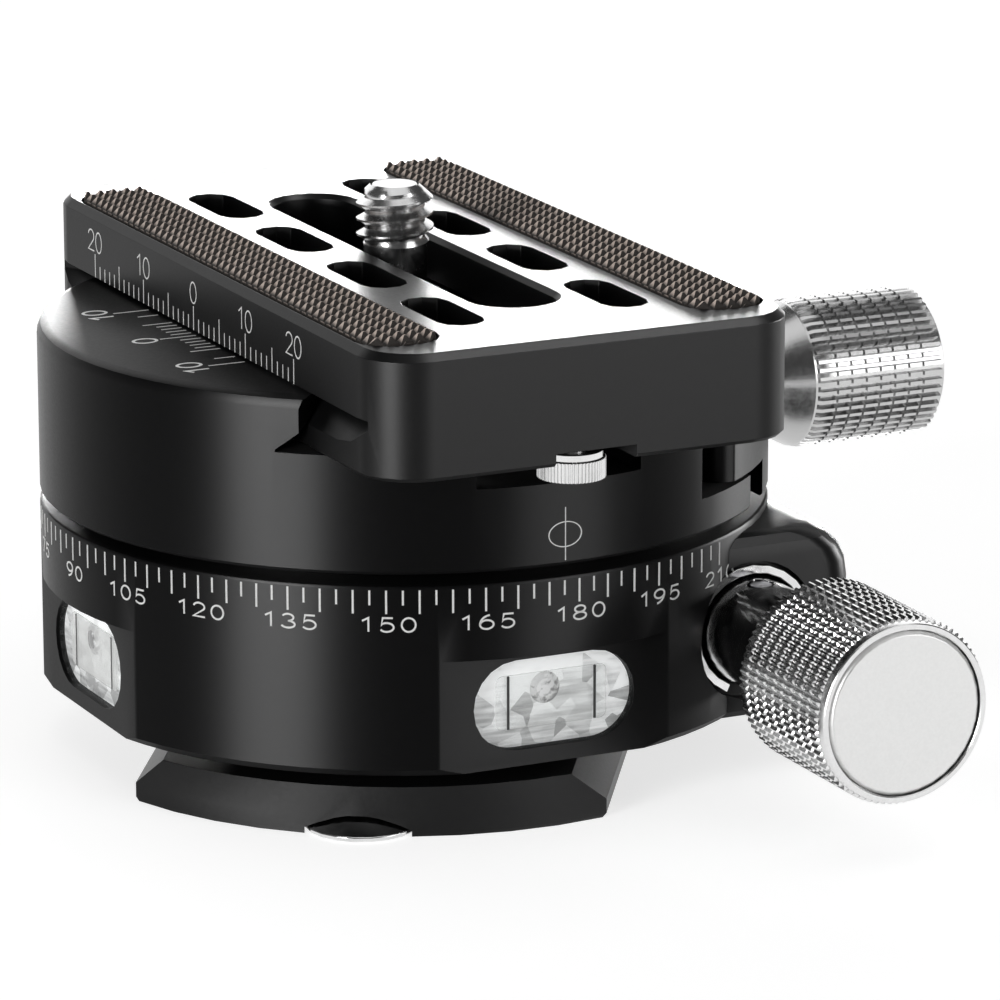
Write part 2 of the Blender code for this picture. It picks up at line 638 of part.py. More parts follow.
def add_lower_housing(finish, base, foot, worm, windows):
    piece = add_piece("lower_housing", turned(rounded_disc_profile(
        BODY_RADIUS, HOUSING_BOTTOM, HOUSING_TOP, HOUSING_FOOT_ROUND, EDGE_CHAMFER), BODY_STEPS),
        finish, base)
    shape_with(piece, "UNION", lug_mesh())
    below = HOUSING_BOTTOM - CUT_OVERRUN
    ledge = HOUSING_BOTTOM + FLAT_HEIGHT
    outside = BODY_RADIUS + CUT_OVERRUN
    half_flat = math.sqrt(BODY_RADIUS ** 2 - FLAT_DISTANCE ** 2) + FUSE_DEPTH
    shape_with(piece, "DIFFERENCE", box(-half_flat, half_flat, -outside, -FLAT_DISTANCE, below, ledge))
    shape_with(piece, "DIFFERENCE", box(-outside, -FLAT_DISTANCE, -half_flat, half_flat, below, ledge))
    shape_with(piece, "DIFFERENCE", turned([
        (0, below),
        (SPINDLE_BORE_RADIUS, below),
        (SPINDLE_BORE_RADIUS, CAVITY_LEVEL),
        (CAVITY_RADIUS, CAVITY_LEVEL),
        (CAVITY_RADIUS, LEDGE_LEVEL),
        (TOP_RECESS_RADIUS, LEDGE_LEVEL),
        (TOP_RECESS_RADIUS, HOUSING_TOP + CUT_OVERRUN),
        (0, HOUSING_TOP + CUT_OVERRUN),
    ], BODY_STEPS // 2))
    bore_end = REAR_BUSH_START + REAR_BUSH_LENGTH + CLEARANCE
    spotface_floor = LUG_FRONT - CIRCLIP_THICKNESS + CIRCLIP_STAND_OFF - CLEARANCE
    spotface_radius = WORM_BORE_RADIUS + CIRCLIP_WIDTH + CLEARANCE
    shape_with(piece, "DIFFERENCE", turned([
        (0, -bore_end),
        (WORM_BORE_RADIUS, -bore_end),
        (WORM_BORE_RADIUS, spotface_floor),
        (spotface_radius, spotface_floor),
        (spotface_radius, outside),
        (0, outside),
    ]), carrier=worm, place=(SLEEVE_OFFSET, 0, 0))
    half_window = (WINDOW_LENGTH - WINDOW_WIDTH) / 2
    for window in windows:
        opening = stadium((-half_window, 0), (half_window, 0), WINDOW_WIDTH / 2)
        shape_with(piece, "DIFFERENCE", prism(opening, -WINDOW_DEPTH, CUT_OVERRUN), carrier=window)
    screw_top = FOOT_SCREW_HEAD_DROP + FOOT_SCREW_LENGTH + CLEARANCE
    for x, y in foot_screw_places():
        hole = rod(FOOT_SCREW_RADIUS + CLEARANCE, below, screw_top, TINY_STEPS)
        shape_with(piece, "DIFFERENCE", hole, carrier=foot, place=(x, y, 0))


def add_vial(name, block_finish, vial_finish, window):
    """A clear block that fills the window's pocket, with the vial in a bore along it."""
    half_length = (WINDOW_LENGTH - WINDOW_WIDTH) / 2
    radius = WINDOW_WIDTH / 2 - CLEARANCE
    outline = stadium((-half_length, 0), (half_length, 0), radius)
    block = add_piece(f"{name}_vial_block", prism(
        outline, -WINDOW_DEPTH + CLEARANCE, -VIAL_BLOCK_SET_BACK), block_finish, window)
    reach = WINDOW_LENGTH / 2 + CUT_OVERRUN
    shape_with(block, "DIFFERENCE", rod(VIAL_RADIUS + CLEARANCE, -reach, reach),
               place=(0, 0, -VIAL_DEPTH), turn=(0, QUARTER, 0))
    add_piece(f"{name}_vial_tube", turned(vial_profile(), SMALL_STEPS), vial_finish, window,
              place=(0, 0, -VIAL_DEPTH), turn=(0, QUARTER, 0))


def vial_profile():
    half = VIAL_LENGTH / 2
    edge = VIAL_EDGE
    return [(0, -half), (VIAL_RADIUS - edge, -half), (VIAL_RADIUS, -half + edge),
            (VIAL_RADIUS, half - edge), (VIAL_RADIUS - edge, half), (0, half)]


def add_spindle_bush(finish, base):
    bore = SPINDLE_JOURNAL_RADIUS + CLEARANCE
    flange_low = CAVITY_LEVEL + CLEARANCE
    low = flange_low - SPINDLE_BUSH_LENGTH
    high = flange_low + SPINDLE_BUSH_FLANGE_HEIGHT
    add_piece("spindle_bush", turned([
        (bore, low),
        (bore + SPINDLE_BUSH_WALL, low),
        (bore + SPINDLE_BUSH_WALL, flange_low),
        (SPINDLE_BUSH_FLANGE_RADIUS, flange_low),
        (SPINDLE_BUSH_FLANGE_RADIUS, high),
        (bore, high),
    ], SMALL_STEPS, bored=True), finish, base)


def add_thrust_washer(finish, base):
    low = LEDGE_LEVEL + CLEARANCE
    high = low + WASHER_THICKNESS
    rim = TOP_RECESS_RADIUS - WASHER_RIM_GAP
    add_piece("thrust_washer", turned([
        (WASHER_BORE_RADIUS, low), (rim, low), (rim, high), (WASHER_BORE_RADIUS, high),
    ], bored=True), finish, base)


def add_worm_supports(sleeve_finish, bush_finish, clip_finish, grub_finish, worm):
    """The eccentric sleeve in front and the bush at the back, with the sleeve's clip and grub screw."""
    sleeve = add_piece("eccentric_sleeve", rod(SLEEVE_RADIUS, SLEEVE_BACK, SLEEVE_FRONT, ROUND_STEPS),
                       sleeve_finish, worm, place=(SLEEVE_OFFSET, 0, 0))
    shape_with(sleeve, "DIFFERENCE", rod(
        SHAFT_RADIUS + CLEARANCE, SLEEVE_BACK - CUT_OVERRUN, SLEEVE_FRONT + CUT_OVERRUN))
    shape_with(sleeve, "DIFFERENCE", rod(
        SLEEVE_GRUB_RADIUS + CLEARANCE, 0, SLEEVE_RADIUS + CUT_OVERRUN, TINY_STEPS),
        place=(0, 0, SLEEVE_GRUB_PLACE), turn=(-QUARTER, 0, 0))
    grub_low = SHAFT_RADIUS + CLEARANCE
    grub_high = SLEEVE_RADIUS - SLEEVE_GRUB_SET_BACK
    add_piece("sleeve_grub_screw", rod(SLEEVE_GRUB_RADIUS, grub_low, grub_high, TINY_STEPS),
              grub_finish, worm, place=(0, 0, SLEEVE_GRUB_PLACE), turn=(-QUARTER, 0, 0))
    bush = add_piece("worm_rear_bush", rod(
        SLEEVE_RADIUS, -REAR_BUSH_START - REAR_BUSH_LENGTH, -REAR_BUSH_START, ROUND_STEPS),
        bush_finish, worm, place=(SLEEVE_OFFSET, 0, 0))
    shape_with(bush, "DIFFERENCE", rod(
        SHAFT_TAIL_RADIUS + CLEARANCE, -REAR_BUSH_START - REAR_BUSH_LENGTH - CUT_OVERRUN,
        -REAR_BUSH_START + CUT_OVERRUN))
    clip_low = LUG_FRONT - CIRCLIP_THICKNESS + CIRCLIP_STAND_OFF
    ring = open_ring(WORM_BORE_RADIUS, WORM_BORE_RADIUS + CIRCLIP_WIDTH, CIRCLIP_OPENING, CIRCLIP_TURN)
    add_piece("sleeve_circlip", prism(ring, clip_low, clip_low + CIRCLIP_THICKNESS),
              clip_finish, worm, place=(SLEEVE_OFFSET, 0, 0))


# Worm and drive knob
def worm_thread():
    """Sweep the tooth's trapezoid along the helix. Both ends taper into the core."""
    turns = WORM_THREAD_LENGTH / GEAR_PITCH
    steps = round(turns * THREAD_STEPS)
    inner = WORM_CORE_RADIUS - FINE_FUSE
    mesh = bmesh.new()
    rings = []
    for step in range(steps + 1):
        share = step / steps
        angle = math.tau * turns * (share - 0.5)
        rise = min(1, share / WORM_TAPER_SHARE, (1 - share) / WORM_TAPER_SHARE)
        crest = WORM_CORE_RADIUS + (WORM_OUTER_RADIUS - WORM_CORE_RADIUS) * max(rise, WORM_TAPER_SHARE)
        ring = []
        for reach, side in ((inner, -1), (crest, -1), (crest, 1), (inner, 1)):
            half = TOOTH_THICKNESS / 2 - (reach - WORM_PITCH_RADIUS) * math.tan(PRESSURE_ANGLE)
            height = GEAR_PITCH * angle / math.tau + side * half
            ring.append(mesh.verts.new((reach * math.cos(angle), reach * math.sin(angle), height)))
        rings.append(ring)
    for lower, upper in zip(rings, rings[1:]):
        for here in range(4):
            after = (here + 1) % 4
            mesh.faces.new((lower[here], lower[after], upper[after], upper[here]))
    mesh.faces.new(list(reversed(rings[0])))
    mesh.faces.new(rings[-1])
    return mesh


def drive_shaft_end():
    return DRIVE_KNOB_BACK + DRIVE_SHAFT_DEPTH


def add_worm_shaft(finish, worm):
    half_core = WORM_CORE_LENGTH / 2
    tail = REAR_BUSH_START + REAR_BUSH_LENGTH - CLEARANCE
    end = drive_shaft_end()
    screw_hole = DRIVE_SCREW_RADIUS + CLEARANCE
    screw_hole_floor = end - DRIVE_SCREW_DEPTH
    piece = add_piece("worm_shaft", turned([
        (0, -tail),
        (SHAFT_TAIL_RADIUS - EDGE_CHAMFER, -tail),
        (SHAFT_TAIL_RADIUS, -tail + EDGE_CHAMFER),
        (SHAFT_TAIL_RADIUS, -half_core),
        (WORM_CORE_RADIUS, -half_core),
        (WORM_CORE_RADIUS, half_core),
        (SHAFT_RADIUS, half_core),
        (SHAFT_RADIUS, end),
        (screw_hole, end),
        (screw_hole, screw_hole_floor),
        (0, screw_hole_floor),
    ], SMALL_STEPS), finish, worm)
    shape_with(piece, "UNION", worm_thread())


def add_drive_knob(knob_finish, cap_finish, screw_finish, worm):
    back = DRIVE_KNOB_BACK
    front = back + DRIVE_KNOB_LENGTH
    shaft_end = drive_shaft_end() + CLEARANCE
    head_floor = shaft_end + DRIVE_WEB
    head_low = head_floor + CLEARANCE
    cap_low = front - DRIVE_KNOB_CAP_THICKNESS
    rib = DRIVE_KNOB_RIB_DEPTH
    knob = add_piece("drive_knob", ribbed([
        (DRIVE_KNOB_RADIUS, rib, back),
        (DRIVE_KNOB_RADIUS, rib, front - DRIVE_KNOB_FRONT_ROUND),
        (DRIVE_KNOB_RIM_RADIUS, 0, front),
    ], DRIVE_KNOB_RIBS), knob_finish, worm)
    shape_with(knob, "DIFFERENCE", turned([
        (0, back - CUT_OVERRUN),
        (SHAFT_RADIUS + CLEARANCE, back - CUT_OVERRUN),
        (SHAFT_RADIUS + CLEARANCE, shaft_end),
        (DRIVE_SCREW_RADIUS + CLEARANCE, shaft_end),
        (DRIVE_SCREW_RADIUS + CLEARANCE, head_floor),
        (DRIVE_SCREW_HEAD_RADIUS + CLEARANCE, head_floor),
        (DRIVE_SCREW_HEAD_RADIUS + CLEARANCE, cap_low - CLEARANCE),
        (DRIVE_KNOB_CAP_RADIUS + CLEARANCE, cap_low - CLEARANCE),
        (DRIVE_KNOB_CAP_RADIUS + CLEARANCE, front + CUT_OVERRUN),
        (0, front + CUT_OVERRUN),
    ], SMALL_STEPS))
    screw_tip = drive_shaft_end() - DRIVE_SCREW_DEPTH + CLEARANCE
    add_piece("drive_knob_screw", turned([
        (0, screw_tip),
        (DRIVE_SCREW_RADIUS, screw_tip),
        (DRIVE_SCREW_RADIUS, head_low),
        (DRIVE_SCREW_HEAD_RADIUS, head_low),
        (DRIVE_SCREW_HEAD_RADIUS, head_low + DRIVE_SCREW_HEAD_HEIGHT),
        (0, head_low + DRIVE_SCREW_HEAD_HEIGHT),
    ], SMALL_STEPS), screw_finish, worm)
    add_piece("drive_knob_cap", turned([
        (0, cap_low),
        (DRIVE_KNOB_CAP_RADIUS, cap_low),
        (DRIVE_KNOB_CAP_RADIUS, front - EDGE_CHAMFER),
        (DRIVE_KNOB_CAP_RADIUS - EDGE_CHAMFER, front),
        (0, front),
    ]), cap_finish, worm)


# Wheel and spindle
def wheel_outline(height):
    """Forty trapezoid teeth, turned a little with height so that they follow the worm's lead."""
    twist = math.tan(LEAD_ANGLE) * (height - WORM_HEIGHT) / WHEEL_PITCH_RADIUS
    spread = math.tan(PRESSURE_ANGLE)
    half_tip = (TOOTH_THICKNESS / 2 - GEAR_MODULE * spread) / WHEEL_OUTER_RADIUS
    half_root = (TOOTH_THICKNESS / 2 + TOOTH_DEPTH_BELOW * spread) / WHEEL_ROOT_RADIUS
    outline = []
    for tooth in range(WHEEL_TEETH):
        centre = math.tau * tooth / WHEEL_TEETH + twist
        for reach, side in ((WHEEL_ROOT_RADIUS, -half_root), (WHEEL_OUTER_RADIUS, -half_tip),
                            (WHEEL_OUTER_RADIUS, half_tip), (WHEEL_ROOT_RADIUS, half_root)):
            outline.append((reach * math.cos(centre + side), reach * math.sin(centre + side)))
    return outline


def add_worm_wheel(finish, pan):
    top = WHEEL_BOTTOM + WHEEL_WIDTH
    heights = [WHEEL_BOTTOM + WHEEL_WIDTH * level / WHEEL_LEVELS for level in range(WHEEL_LEVELS + 1)]
    rows = [(wheel_outline(height), height) for height in heights]
    piece = add_piece("worm_wheel", loft(rows), finish, pan)
    shape_with(piece, "UNION", rod(WHEEL_HUB_RADIUS, top - FUSE_DEPTH, top + WHEEL_HUB_HEIGHT, ROUND_STEPS))
    low = WHEEL_BOTTOM - CUT_OVERRUN
    high = top + WHEEL_HUB_HEIGHT + CUT_OVERRUN
    bore = SPINDLE_HUB_RADIUS + CLEARANCE
    shape_with(piece, "DIFFERENCE", rod(bore, low, high, ROUND_STEPS))
    half_key = KEY_WIDTH / 2 + CLEARANCE
    key_top = bore + KEY_IN_WHEEL + CLEARANCE
    shape_with(piece, "DIFFERENCE", box(-half_key, half_key, bore - FUSE_DEPTH, key_top, low, high))


def key_levels():
    return WHEEL_BOTTOM + KEY_END_GAP, WHEEL_BOTTOM + WHEEL_WIDTH + WHEEL_HUB_HEIGHT - KEY_END_GAP


def add_wheel_key(finish, pan):
    low, high = key_levels()
    half = KEY_WIDTH / 2
    inner = SPINDLE_HUB_RADIUS - KEY_IN_SPINDLE
    outer = SPINDLE_HUB_RADIUS + CLEARANCE + KEY_IN_WHEEL
    add_piece("wheel_key", box(-half, half, inner, outer, low, high), finish, pan)


def body_screw_places():
    return [(x, y) for x in (-BODY_SCREW_X, BODY_SCREW_X) for y in (-BODY_SCREW_Y, BODY_SCREW_Y)]


def add_pan_spindle(finish, pan):
    shoulder = WHEEL_BOTTOM
    journal_low = CAVITY_LEVEL + CLEARANCE - SPINDLE_BUSH_LENGTH - CLEARANCE
    piece = add_piece("pan_spindle", turned([
        (0, SPINDLE_BOTTOM),
        (SPINDLE_TAIL_RADIUS, SPINDLE_BOTTOM),
        (SPINDLE_TAIL_RADIUS, journal_low),
        (SPINDLE_JOURNAL_RADIUS, journal_low),
        (SPINDLE_JOURNAL_RADIUS, shoulder),
        (SPINDLE_HUB_RADIUS, shoulder),
        (SPINDLE_HUB_RADIUS, FLANGE_BOTTOM),
        (SPINDLE_FLANGE_RADIUS, FLANGE_BOTTOM),
        (SPINDLE_FLANGE_RADIUS, SPINDLE_TOP),
        (0, SPINDLE_TOP),
    ], SMALL_STEPS), finish, pan)
    low, high = key_levels()
    half = KEY_WIDTH / 2 + CLEARANCE
    shape_with(piece, "DIFFERENCE", box(
        -half, half, SPINDLE_HUB_RADIUS - KEY_IN_SPINDLE - CLEARANCE, SPINDLE_HUB_RADIUS + FUSE_DEPTH,
        low - CLEARANCE, high + CLEARANCE))
    for x, y in body_screw_places():
        hole = rod(BODY_SCREW_RADIUS + CLEARANCE, FLANGE_BOTTOM - FUSE_DEPTH,
                   SPINDLE_TOP + CUT_OVERRUN, TINY_STEPS)
        shape_with(piece, "DIFFERENCE", hole, place=(x, y, 0))


def add_spindle_nut(finish, pan):
    """A round nut with four spanner notches."""
    high = CAVITY_LEVEL - SPINDLE_BUSH_LENGTH
    low = high - NUT_HEIGHT
    bore = SPINDLE_TAIL_RADIUS + CLEARANCE
    piece = add_piece("spindle_nut", turned([
        (bore, low), (NUT_RADIUS, low), (NUT_RADIUS, high), (bore, high),
    ], SMALL_STEPS, bored=True), finish, pan)
    half = NUT_NOTCH_WIDTH / 2
    for quarter in range(4):
        notch = box(NUT_RADIUS - NUT_NOTCH_DEPTH, NUT_RADIUS + FUSE_DEPTH, -half, half,
                    low - CUT_OVERRUN, high + CUT_OVERRUN)
        shape_with(piece, "DIFFERENCE", notch, turn=(0, 0, (quarter + 0.5) * QUARTER))


def add_body_screws(finish, pan):
    head_top = CHANNEL_LEVEL - BODY_SCREW_HEAD_DROP
    head_low = head_top - BODY_SCREW_HEAD_HEIGHT
    for number, (x, y) in enumerate(body_screw_places(), 1):
        add_piece(f"body_screw_{number}", turned([
            (0, head_low - BODY_SCREW_LENGTH),
            (BODY_SCREW_RADIUS, head_low - BODY_SCREW_LENGTH),
            (BODY_SCREW_RADIUS, head_low),
            (BODY_SCREW_HEAD_RADIUS, head_low),
            (BODY_SCREW_HEAD_RADIUS, head_top),
            (0, head_top),
        ], TINY_STEPS), finish, pan, place=(x, y, 0))


# Upper body and moving jaw
def jaw_underside(reach, away):
    """Section of a jaw from its lip down to the channel floor. away is -1 on the left, 1 on the right."""
    lip = UPPER_TOP - JAW_LIP
    return [
        (away * reach, UPPER_TOP + CUT_OVERRUN),
        (away * reach, lip),
        (away * (reach + JAW_UNDERCUT), lip - JAW_UNDERCUT),
        (away * (reach + JAW_UNDERCUT), CHANNEL_LEVEL),
    ]


def nose_corner(reach, away, end):
    """Plan of the lead-in that rounds one end of a jaw's nose. end is -1 near and 1 far."""
    centre = (away * (reach + NOSE_ROUND - CUT_LEAD), end * NOSE_END)
    start = math.pi if away > 0 else 0
    sweep = QUARTER * end * (-1 if away > 0 else 1)
    rounding = arc(centre, NOSE_ROUND, start, start + sweep, CORNER_STEPS)
    outside = end * (BODY_RADIUS + CUT_OVERRUN)
    inside = away * (reach - CUT_OVERRUN)
    return [(inside, end * NOSE_END), *rounding, (centre[0], outside), (inside, outside)]


def cut_nose_corners(piece, reach, away):
    for end in (-1, 1):
        corner = prism(nose_corner(reach, away, end), CHANNEL_LEVEL + CLEARANCE, UPPER_TOP + CUT_OVERRUN)
        shape_with(piece, "DIFFERENCE", corner)


def add_upper_body(finish, pan, clamp):
    centre = (BODY_RADIUS - UPPER_TOP_ROUND, UPPER_TOP - UPPER_TOP_ROUND)
    top_edge = arc(centre, UPPER_TOP_ROUND, 0, QUARTER, EDGE_STEPS)
    piece = add_piece("upper_body", turned([
        (0, SPIGOT_BOTTOM),
        (SPIGOT_RADIUS, SPIGOT_BOTTOM),
        (SPIGOT_RADIUS, UPPER_BOTTOM),
        (BODY_RADIUS - EDGE_CHAMFER, UPPER_BOTTOM),
        (BODY_RADIUS, UPPER_BOTTOM + EDGE_CHAMFER),
        *top_edge,
        (0, UPPER_TOP),
    ], BODY_STEPS), finish, pan)
    outside = BODY_RADIUS + CUT_OVERRUN
    clamp_space = [
        *jaw_underside(JAW_REACH, -1),
        (BLOCK_SIDE, CHANNEL_LEVEL),
        (BLOCK_SIDE, DECK_LEVEL),
        (DECK_SIDE, DECK_LEVEL),
        (DECK_SIDE, STEP_LEVEL),
        (outside, STEP_LEVEL),
        (outside, UPPER_TOP + CUT_OVERRUN),
    ]
    shape_with(piece, "DIFFERENCE", prism(clamp_space, -outside, outside), turn=(QUARTER, 0, 0))
    shape_with(piece, "DIFFERENCE", box(
        BLOCK_SIDE, DECK_SIDE + FUSE_DEPTH, -TROUGH_HALF_WIDTH, TROUGH_HALF_WIDTH,
        TROUGH_LEVEL, DECK_LEVEL + FUSE_DEPTH))
    pocket_floor = UPPER_TOP - POCKET_DEPTH
    for near, far in ((-outside, -POCKET_END), (POCKET_END, outside)):
        shape_with(piece, "DIFFERENCE", box(
            -POCKET_HALF_WIDTH, POCKET_HALF_WIDTH, near, far, pocket_floor, CHANNEL_LEVEL + FUSE_DEPTH))
    cut_nose_corners(piece, JAW_REACH, -1)
    screw_end = CLAMP_SCREW_TIP - JAW_TRAVEL / 2
    shape_with(piece, "DIFFERENCE", rod(
        CLAMP_SCREW_RADIUS + CLEARANCE, screw_end, BLOCK_SIDE + CUT_OVERRUN), carrier=clamp)
    pin_floor = BLOCK_SIDE - GUIDE_PIN_BODY_DEPTH - CLEARANCE
    for y in (-GUIDE_PIN_PLACE, GUIDE_PIN_PLACE):
        shape_with(piece, "DIFFERENCE", rod(
            GUIDE_PIN_RADIUS + CLEARANCE, pin_floor, BLOCK_SIDE + CUT_OVERRUN, TINY_STEPS),
            place=(0, y, GUIDE_PIN_HEIGHT), turn=(0, QUARTER, 0))
    head_top = CHANNEL_LEVEL - BODY_SCREW_HEAD_DROP
    head_floor = head_top - BODY_SCREW_HEAD_HEIGHT - CLEARANCE
    for x, y in body_screw_places():
        shape_with(piece, "DIFFERENCE", turned([
            (0, SPIGOT_BOTTOM - CUT_OVERRUN),
            (BODY_SCREW_RADIUS + CLEARANCE, SPIGOT_BOTTOM - CUT_OVERRUN),
            (BODY_SCREW_RADIUS + CLEARANCE, head_floor),
            (BODY_SCREW_HEAD_RADIUS + CLEARANCE, head_floor),
            (BODY_SCREW_HEAD_RADIUS + CLEARANCE, CHANNEL_LEVEL + FUSE_DEPTH),
            (0, CHANNEL_LEVEL + FUSE_DEPTH),
        ], TINY_STEPS), place=(x, y, 0))


def jaw_side_corner(end):
    """Plan of the cut that rounds one upright edge of the moving jaw's inner face into its rim."""
    centre_x = JAW_INNER_FACE + JAW_CORNER_ROUND
    centre_y = math.sqrt((BODY_RADIUS - JAW_CORNER_ROUND) ** 2 - centre_x ** 2)
    rim_angle = math.atan2(centre_y, centre_x)
    outside = BODY_RADIUS + CUT_OVERRUN
    rounding = arc((centre_x, centre_y), JAW_CORNER_ROUND + CUT_LEAD, math.pi, rim_angle, CORNER_STEPS)
    tail = [(outside * math.cos(rim_angle), outside * math.sin(rim_angle)),
            (JAW_INNER_FACE - CUT_OVERRUN, outside),
            (JAW_INNER_FACE - CUT_OVERRUN, centre_y)]
    return [(x, end * y) for x, y in rounding + tail]


def add_moving_jaw(finish, jaw, clamp):
    underside = DECK_LEVEL + CLEARANCE
    outside = BODY_RADIUS + CUT_OVERRUN
    piece = add_piece("moving_jaw", turned(rounded_disc_profile(
        BODY_RADIUS, UPPER_BOTTOM, UPPER_TOP, EDGE_CHAMFER, UPPER_TOP_ROUND), BODY_STEPS), finish, jaw)
    section = [
        *jaw_underside(MOVING_JAW_REACH, 1),
        (JAW_INNER_FACE, CHANNEL_LEVEL),
        (JAW_INNER_FACE, underside),
        (JAW_SKIRT_SIDE, underside),
        (JAW_SKIRT_SIDE, UPPER_BOTTOM - CUT_OVERRUN),
        (outside, UPPER_BOTTOM - CUT_OVERRUN),
        (outside, UPPER_TOP + CUT_OVERRUN),
    ]
    shape_with(piece, "INTERSECT", prism(section, -outside, outside), turn=(QUARTER, 0, 0))
    half_tongue = TROUGH_HALF_WIDTH - CLEARANCE
    shape_with(piece, "UNION", box(
        JAW_INNER_FACE + CUT_LEAD, JAW_INNER_FACE + TONGUE_LENGTH, -half_tongue, half_tongue,
        TROUGH_LEVEL + CLEARANCE, underside + CLEARANCE))
    cut_nose_corners(piece, MOVING_JAW_REACH, 1)
    for end in (-1, 1):
        shape_with(piece, "DIFFERENCE", prism(
            jaw_side_corner(end), underside - CUT_OVERRUN, CHANNEL_LEVEL + FINE_FUSE))
    pin_end = JAW_INNER_FACE + GUIDE_PIN_JAW_DEPTH + CLEARANCE
    for y in (-GUIDE_PIN_PLACE, GUIDE_PIN_PLACE):
        shape_with(piece, "DIFFERENCE", rod(
            GUIDE_PIN_RADIUS + CLEARANCE, JAW_INNER_FACE - CUT_OVERRUN, pin_end, TINY_STEPS),
            place=(0, y, GUIDE_PIN_HEIGHT), turn=(0, QUARTER, 0))
    bore = CLAMP_SCREW_RADIUS + CLEARANCE
    spotface = BODY_RADIUS - SPOTFACE_DEPTH
    shape_with(piece, "DIFFERENCE", turned([
        (0, JAW_INNER_FACE - CUT_OVERRUN),
        (bore, JAW_INNER_FACE - CUT_OVERRUN),
        (bore, spotface),
        (SPOTFACE_RADIUS, spotface),
        (SPOTFACE_RADIUS, outside),
        (0, outside),
    ], SMALL_STEPS), carrier=clamp)


def add_guide_pins(finish, jaw):
    low = BLOCK_SIDE - GUIDE_PIN_BODY_DEPTH
    high = JAW_INNER_FACE + GUIDE_PIN_JAW_DEPTH
    for name, y in (("jaw_guide_pin_front", -GUIDE_PIN_PLACE), ("jaw_guide_pin_rear", GUIDE_PIN_PLACE)):
        add_piece(name, rod(GUIDE_PIN_RADIUS, low, high, TINY_STEPS), finish, jaw,
                  place=(0, y, GUIDE_PIN_HEIGHT), turn=(0, QUARTER, 0))


# Clamp screw and knob
def add_clamp_screw(finish, clip_finish, clamp):
    clip_high = JAW_INNER_FACE - CLEARANCE
    clip_low = clip_high - CLIP_THICKNESS
    core = CLAMP_SCREW_RADIUS - CLIP_GROOVE_DEPTH
    add_piece("clamp_screw", turned([
        (0, CLAMP_SCREW_TIP),
        (CLAMP_SCREW_RADIUS - EDGE_CHAMFER, CLAMP_SCREW_TIP),
        (CLAMP_SCREW_RADIUS, CLAMP_SCREW_TIP + EDGE_CHAMFER),
        (CLAMP_SCREW_RADIUS, clip_low - CLEARANCE),
        (core, clip_low - CLEARANCE),
        (core, clip_high + CLEARANCE),
        (CLAMP_SCREW_RADIUS, clip_high + CLEARANCE),
        (CLAMP_SCREW_RADIUS, CLAMP_SCREW_END),
        (0, CLAMP_SCREW_END),
    ], SMALL_STEPS), finish, clamp)
    ring = open_ring(core + CLEARANCE, CLIP_RADIUS, CLIP_OPENING, 0)
    add_piece("clamp_screw_clip", prism(ring, clip_low, clip_high), clip_finish, clamp)


def neck_rings():
    """The knob's waist: a quarter wave from the neck out to the shoulder."""
    rings = [(CLAMP_KNOB_NECK_RADIUS, 0, CLAMP_KNOB_START)]
    taper_start = CLAMP_KNOB_START + CLAMP_KNOB_NECK_FLAT
    taper = CLAMP_KNOB_TAPER_LENGTH - CLAMP_KNOB_NECK_FLAT
    growth = CLAMP_KNOB_SHOULDER_RADIUS - CLAMP_KNOB_NECK_RADIUS
    for step in range(NECK_STEPS + 1):
        share = step / NECK_STEPS
        radius = CLAMP_KNOB_NECK_RADIUS + growth * (1 - math.cos(share * QUARTER)) ** NECK_CURVE
        rings.append((radius, 0, taper_start + taper * share))
    return rings


def add_clamp_knob(finish, washer_finish, clamp):
    dish_low = CLAMP_KNOB_END - CLAMP_KNOB_DISH_DEPTH
    rib = CLAMP_KNOB_RIB_DEPTH
    knob = add_piece("clamp_knob", turned([
        (0, CLAMP_KNOB_START),
        *[(radius, height) for radius, _, height in neck_rings()],
        (CLAMP_KNOB_SHOULDER_RADIUS, CLAMP_KNOB_RIB_START),
        (CLAMP_KNOB_CORE_RADIUS, CLAMP_KNOB_RIB_START),
        (CLAMP_KNOB_CORE_RADIUS, CLAMP_KNOB_RIB_END - CLAMP_KNOB_RIM_LAP),
        (CLAMP_KNOB_RIM_RADIUS, CLAMP_KNOB_RIB_END - CLAMP_KNOB_RIM_LAP),
        (CLAMP_KNOB_RIM_RADIUS, CLAMP_KNOB_END),
        (CLAMP_KNOB_DISH_RADIUS, CLAMP_KNOB_END),
        (CLAMP_KNOB_DISH_RADIUS - CLAMP_KNOB_DISH_DEPTH, dish_low),
        (0, dish_low),
    ], KNOB_STEPS), finish, clamp)
    shape_with(knob, "UNION", ribbed([
        (CLAMP_KNOB_RADIUS, rib, CLAMP_KNOB_RIB_START - CUT_LEAD),
        (CLAMP_KNOB_RADIUS, rib, CLAMP_KNOB_RIB_END),
    ], CLAMP_KNOB_RIBS))
    shape_with(knob, "DIFFERENCE", rod(
        CLAMP_SCREW_RADIUS + CLEARANCE, CLAMP_KNOB_START - CUT_OVERRUN, CLAMP_SCREW_END + CLEARANCE))
    washer_low = BODY_RADIUS - SPOTFACE_DEPTH + CLEARANCE
    washer_high = washer_low + KNOB_WASHER_THICKNESS
    bore = CLAMP_SCREW_RADIUS + CLEARANCE
    add_piece("clamp_knob_washer", turned([
        (bore, washer_low),
        (KNOB_WASHER_RADIUS, washer_low),
        (KNOB_WASHER_RADIUS, washer_high),
        (bore, washer_high),
    ], SMALL_STEPS, bored=True), washer_finish, clamp)


# Quick-release plate
def plate_outline(inset):
    half_width = PLATE_WIDTH / 2 - inset
    half_length = PLATE_LENGTH / 2 - inset
    return rounded_rectangle(-half_width, half_width, -half_length, half_length, PLATE_CORNER - inset)


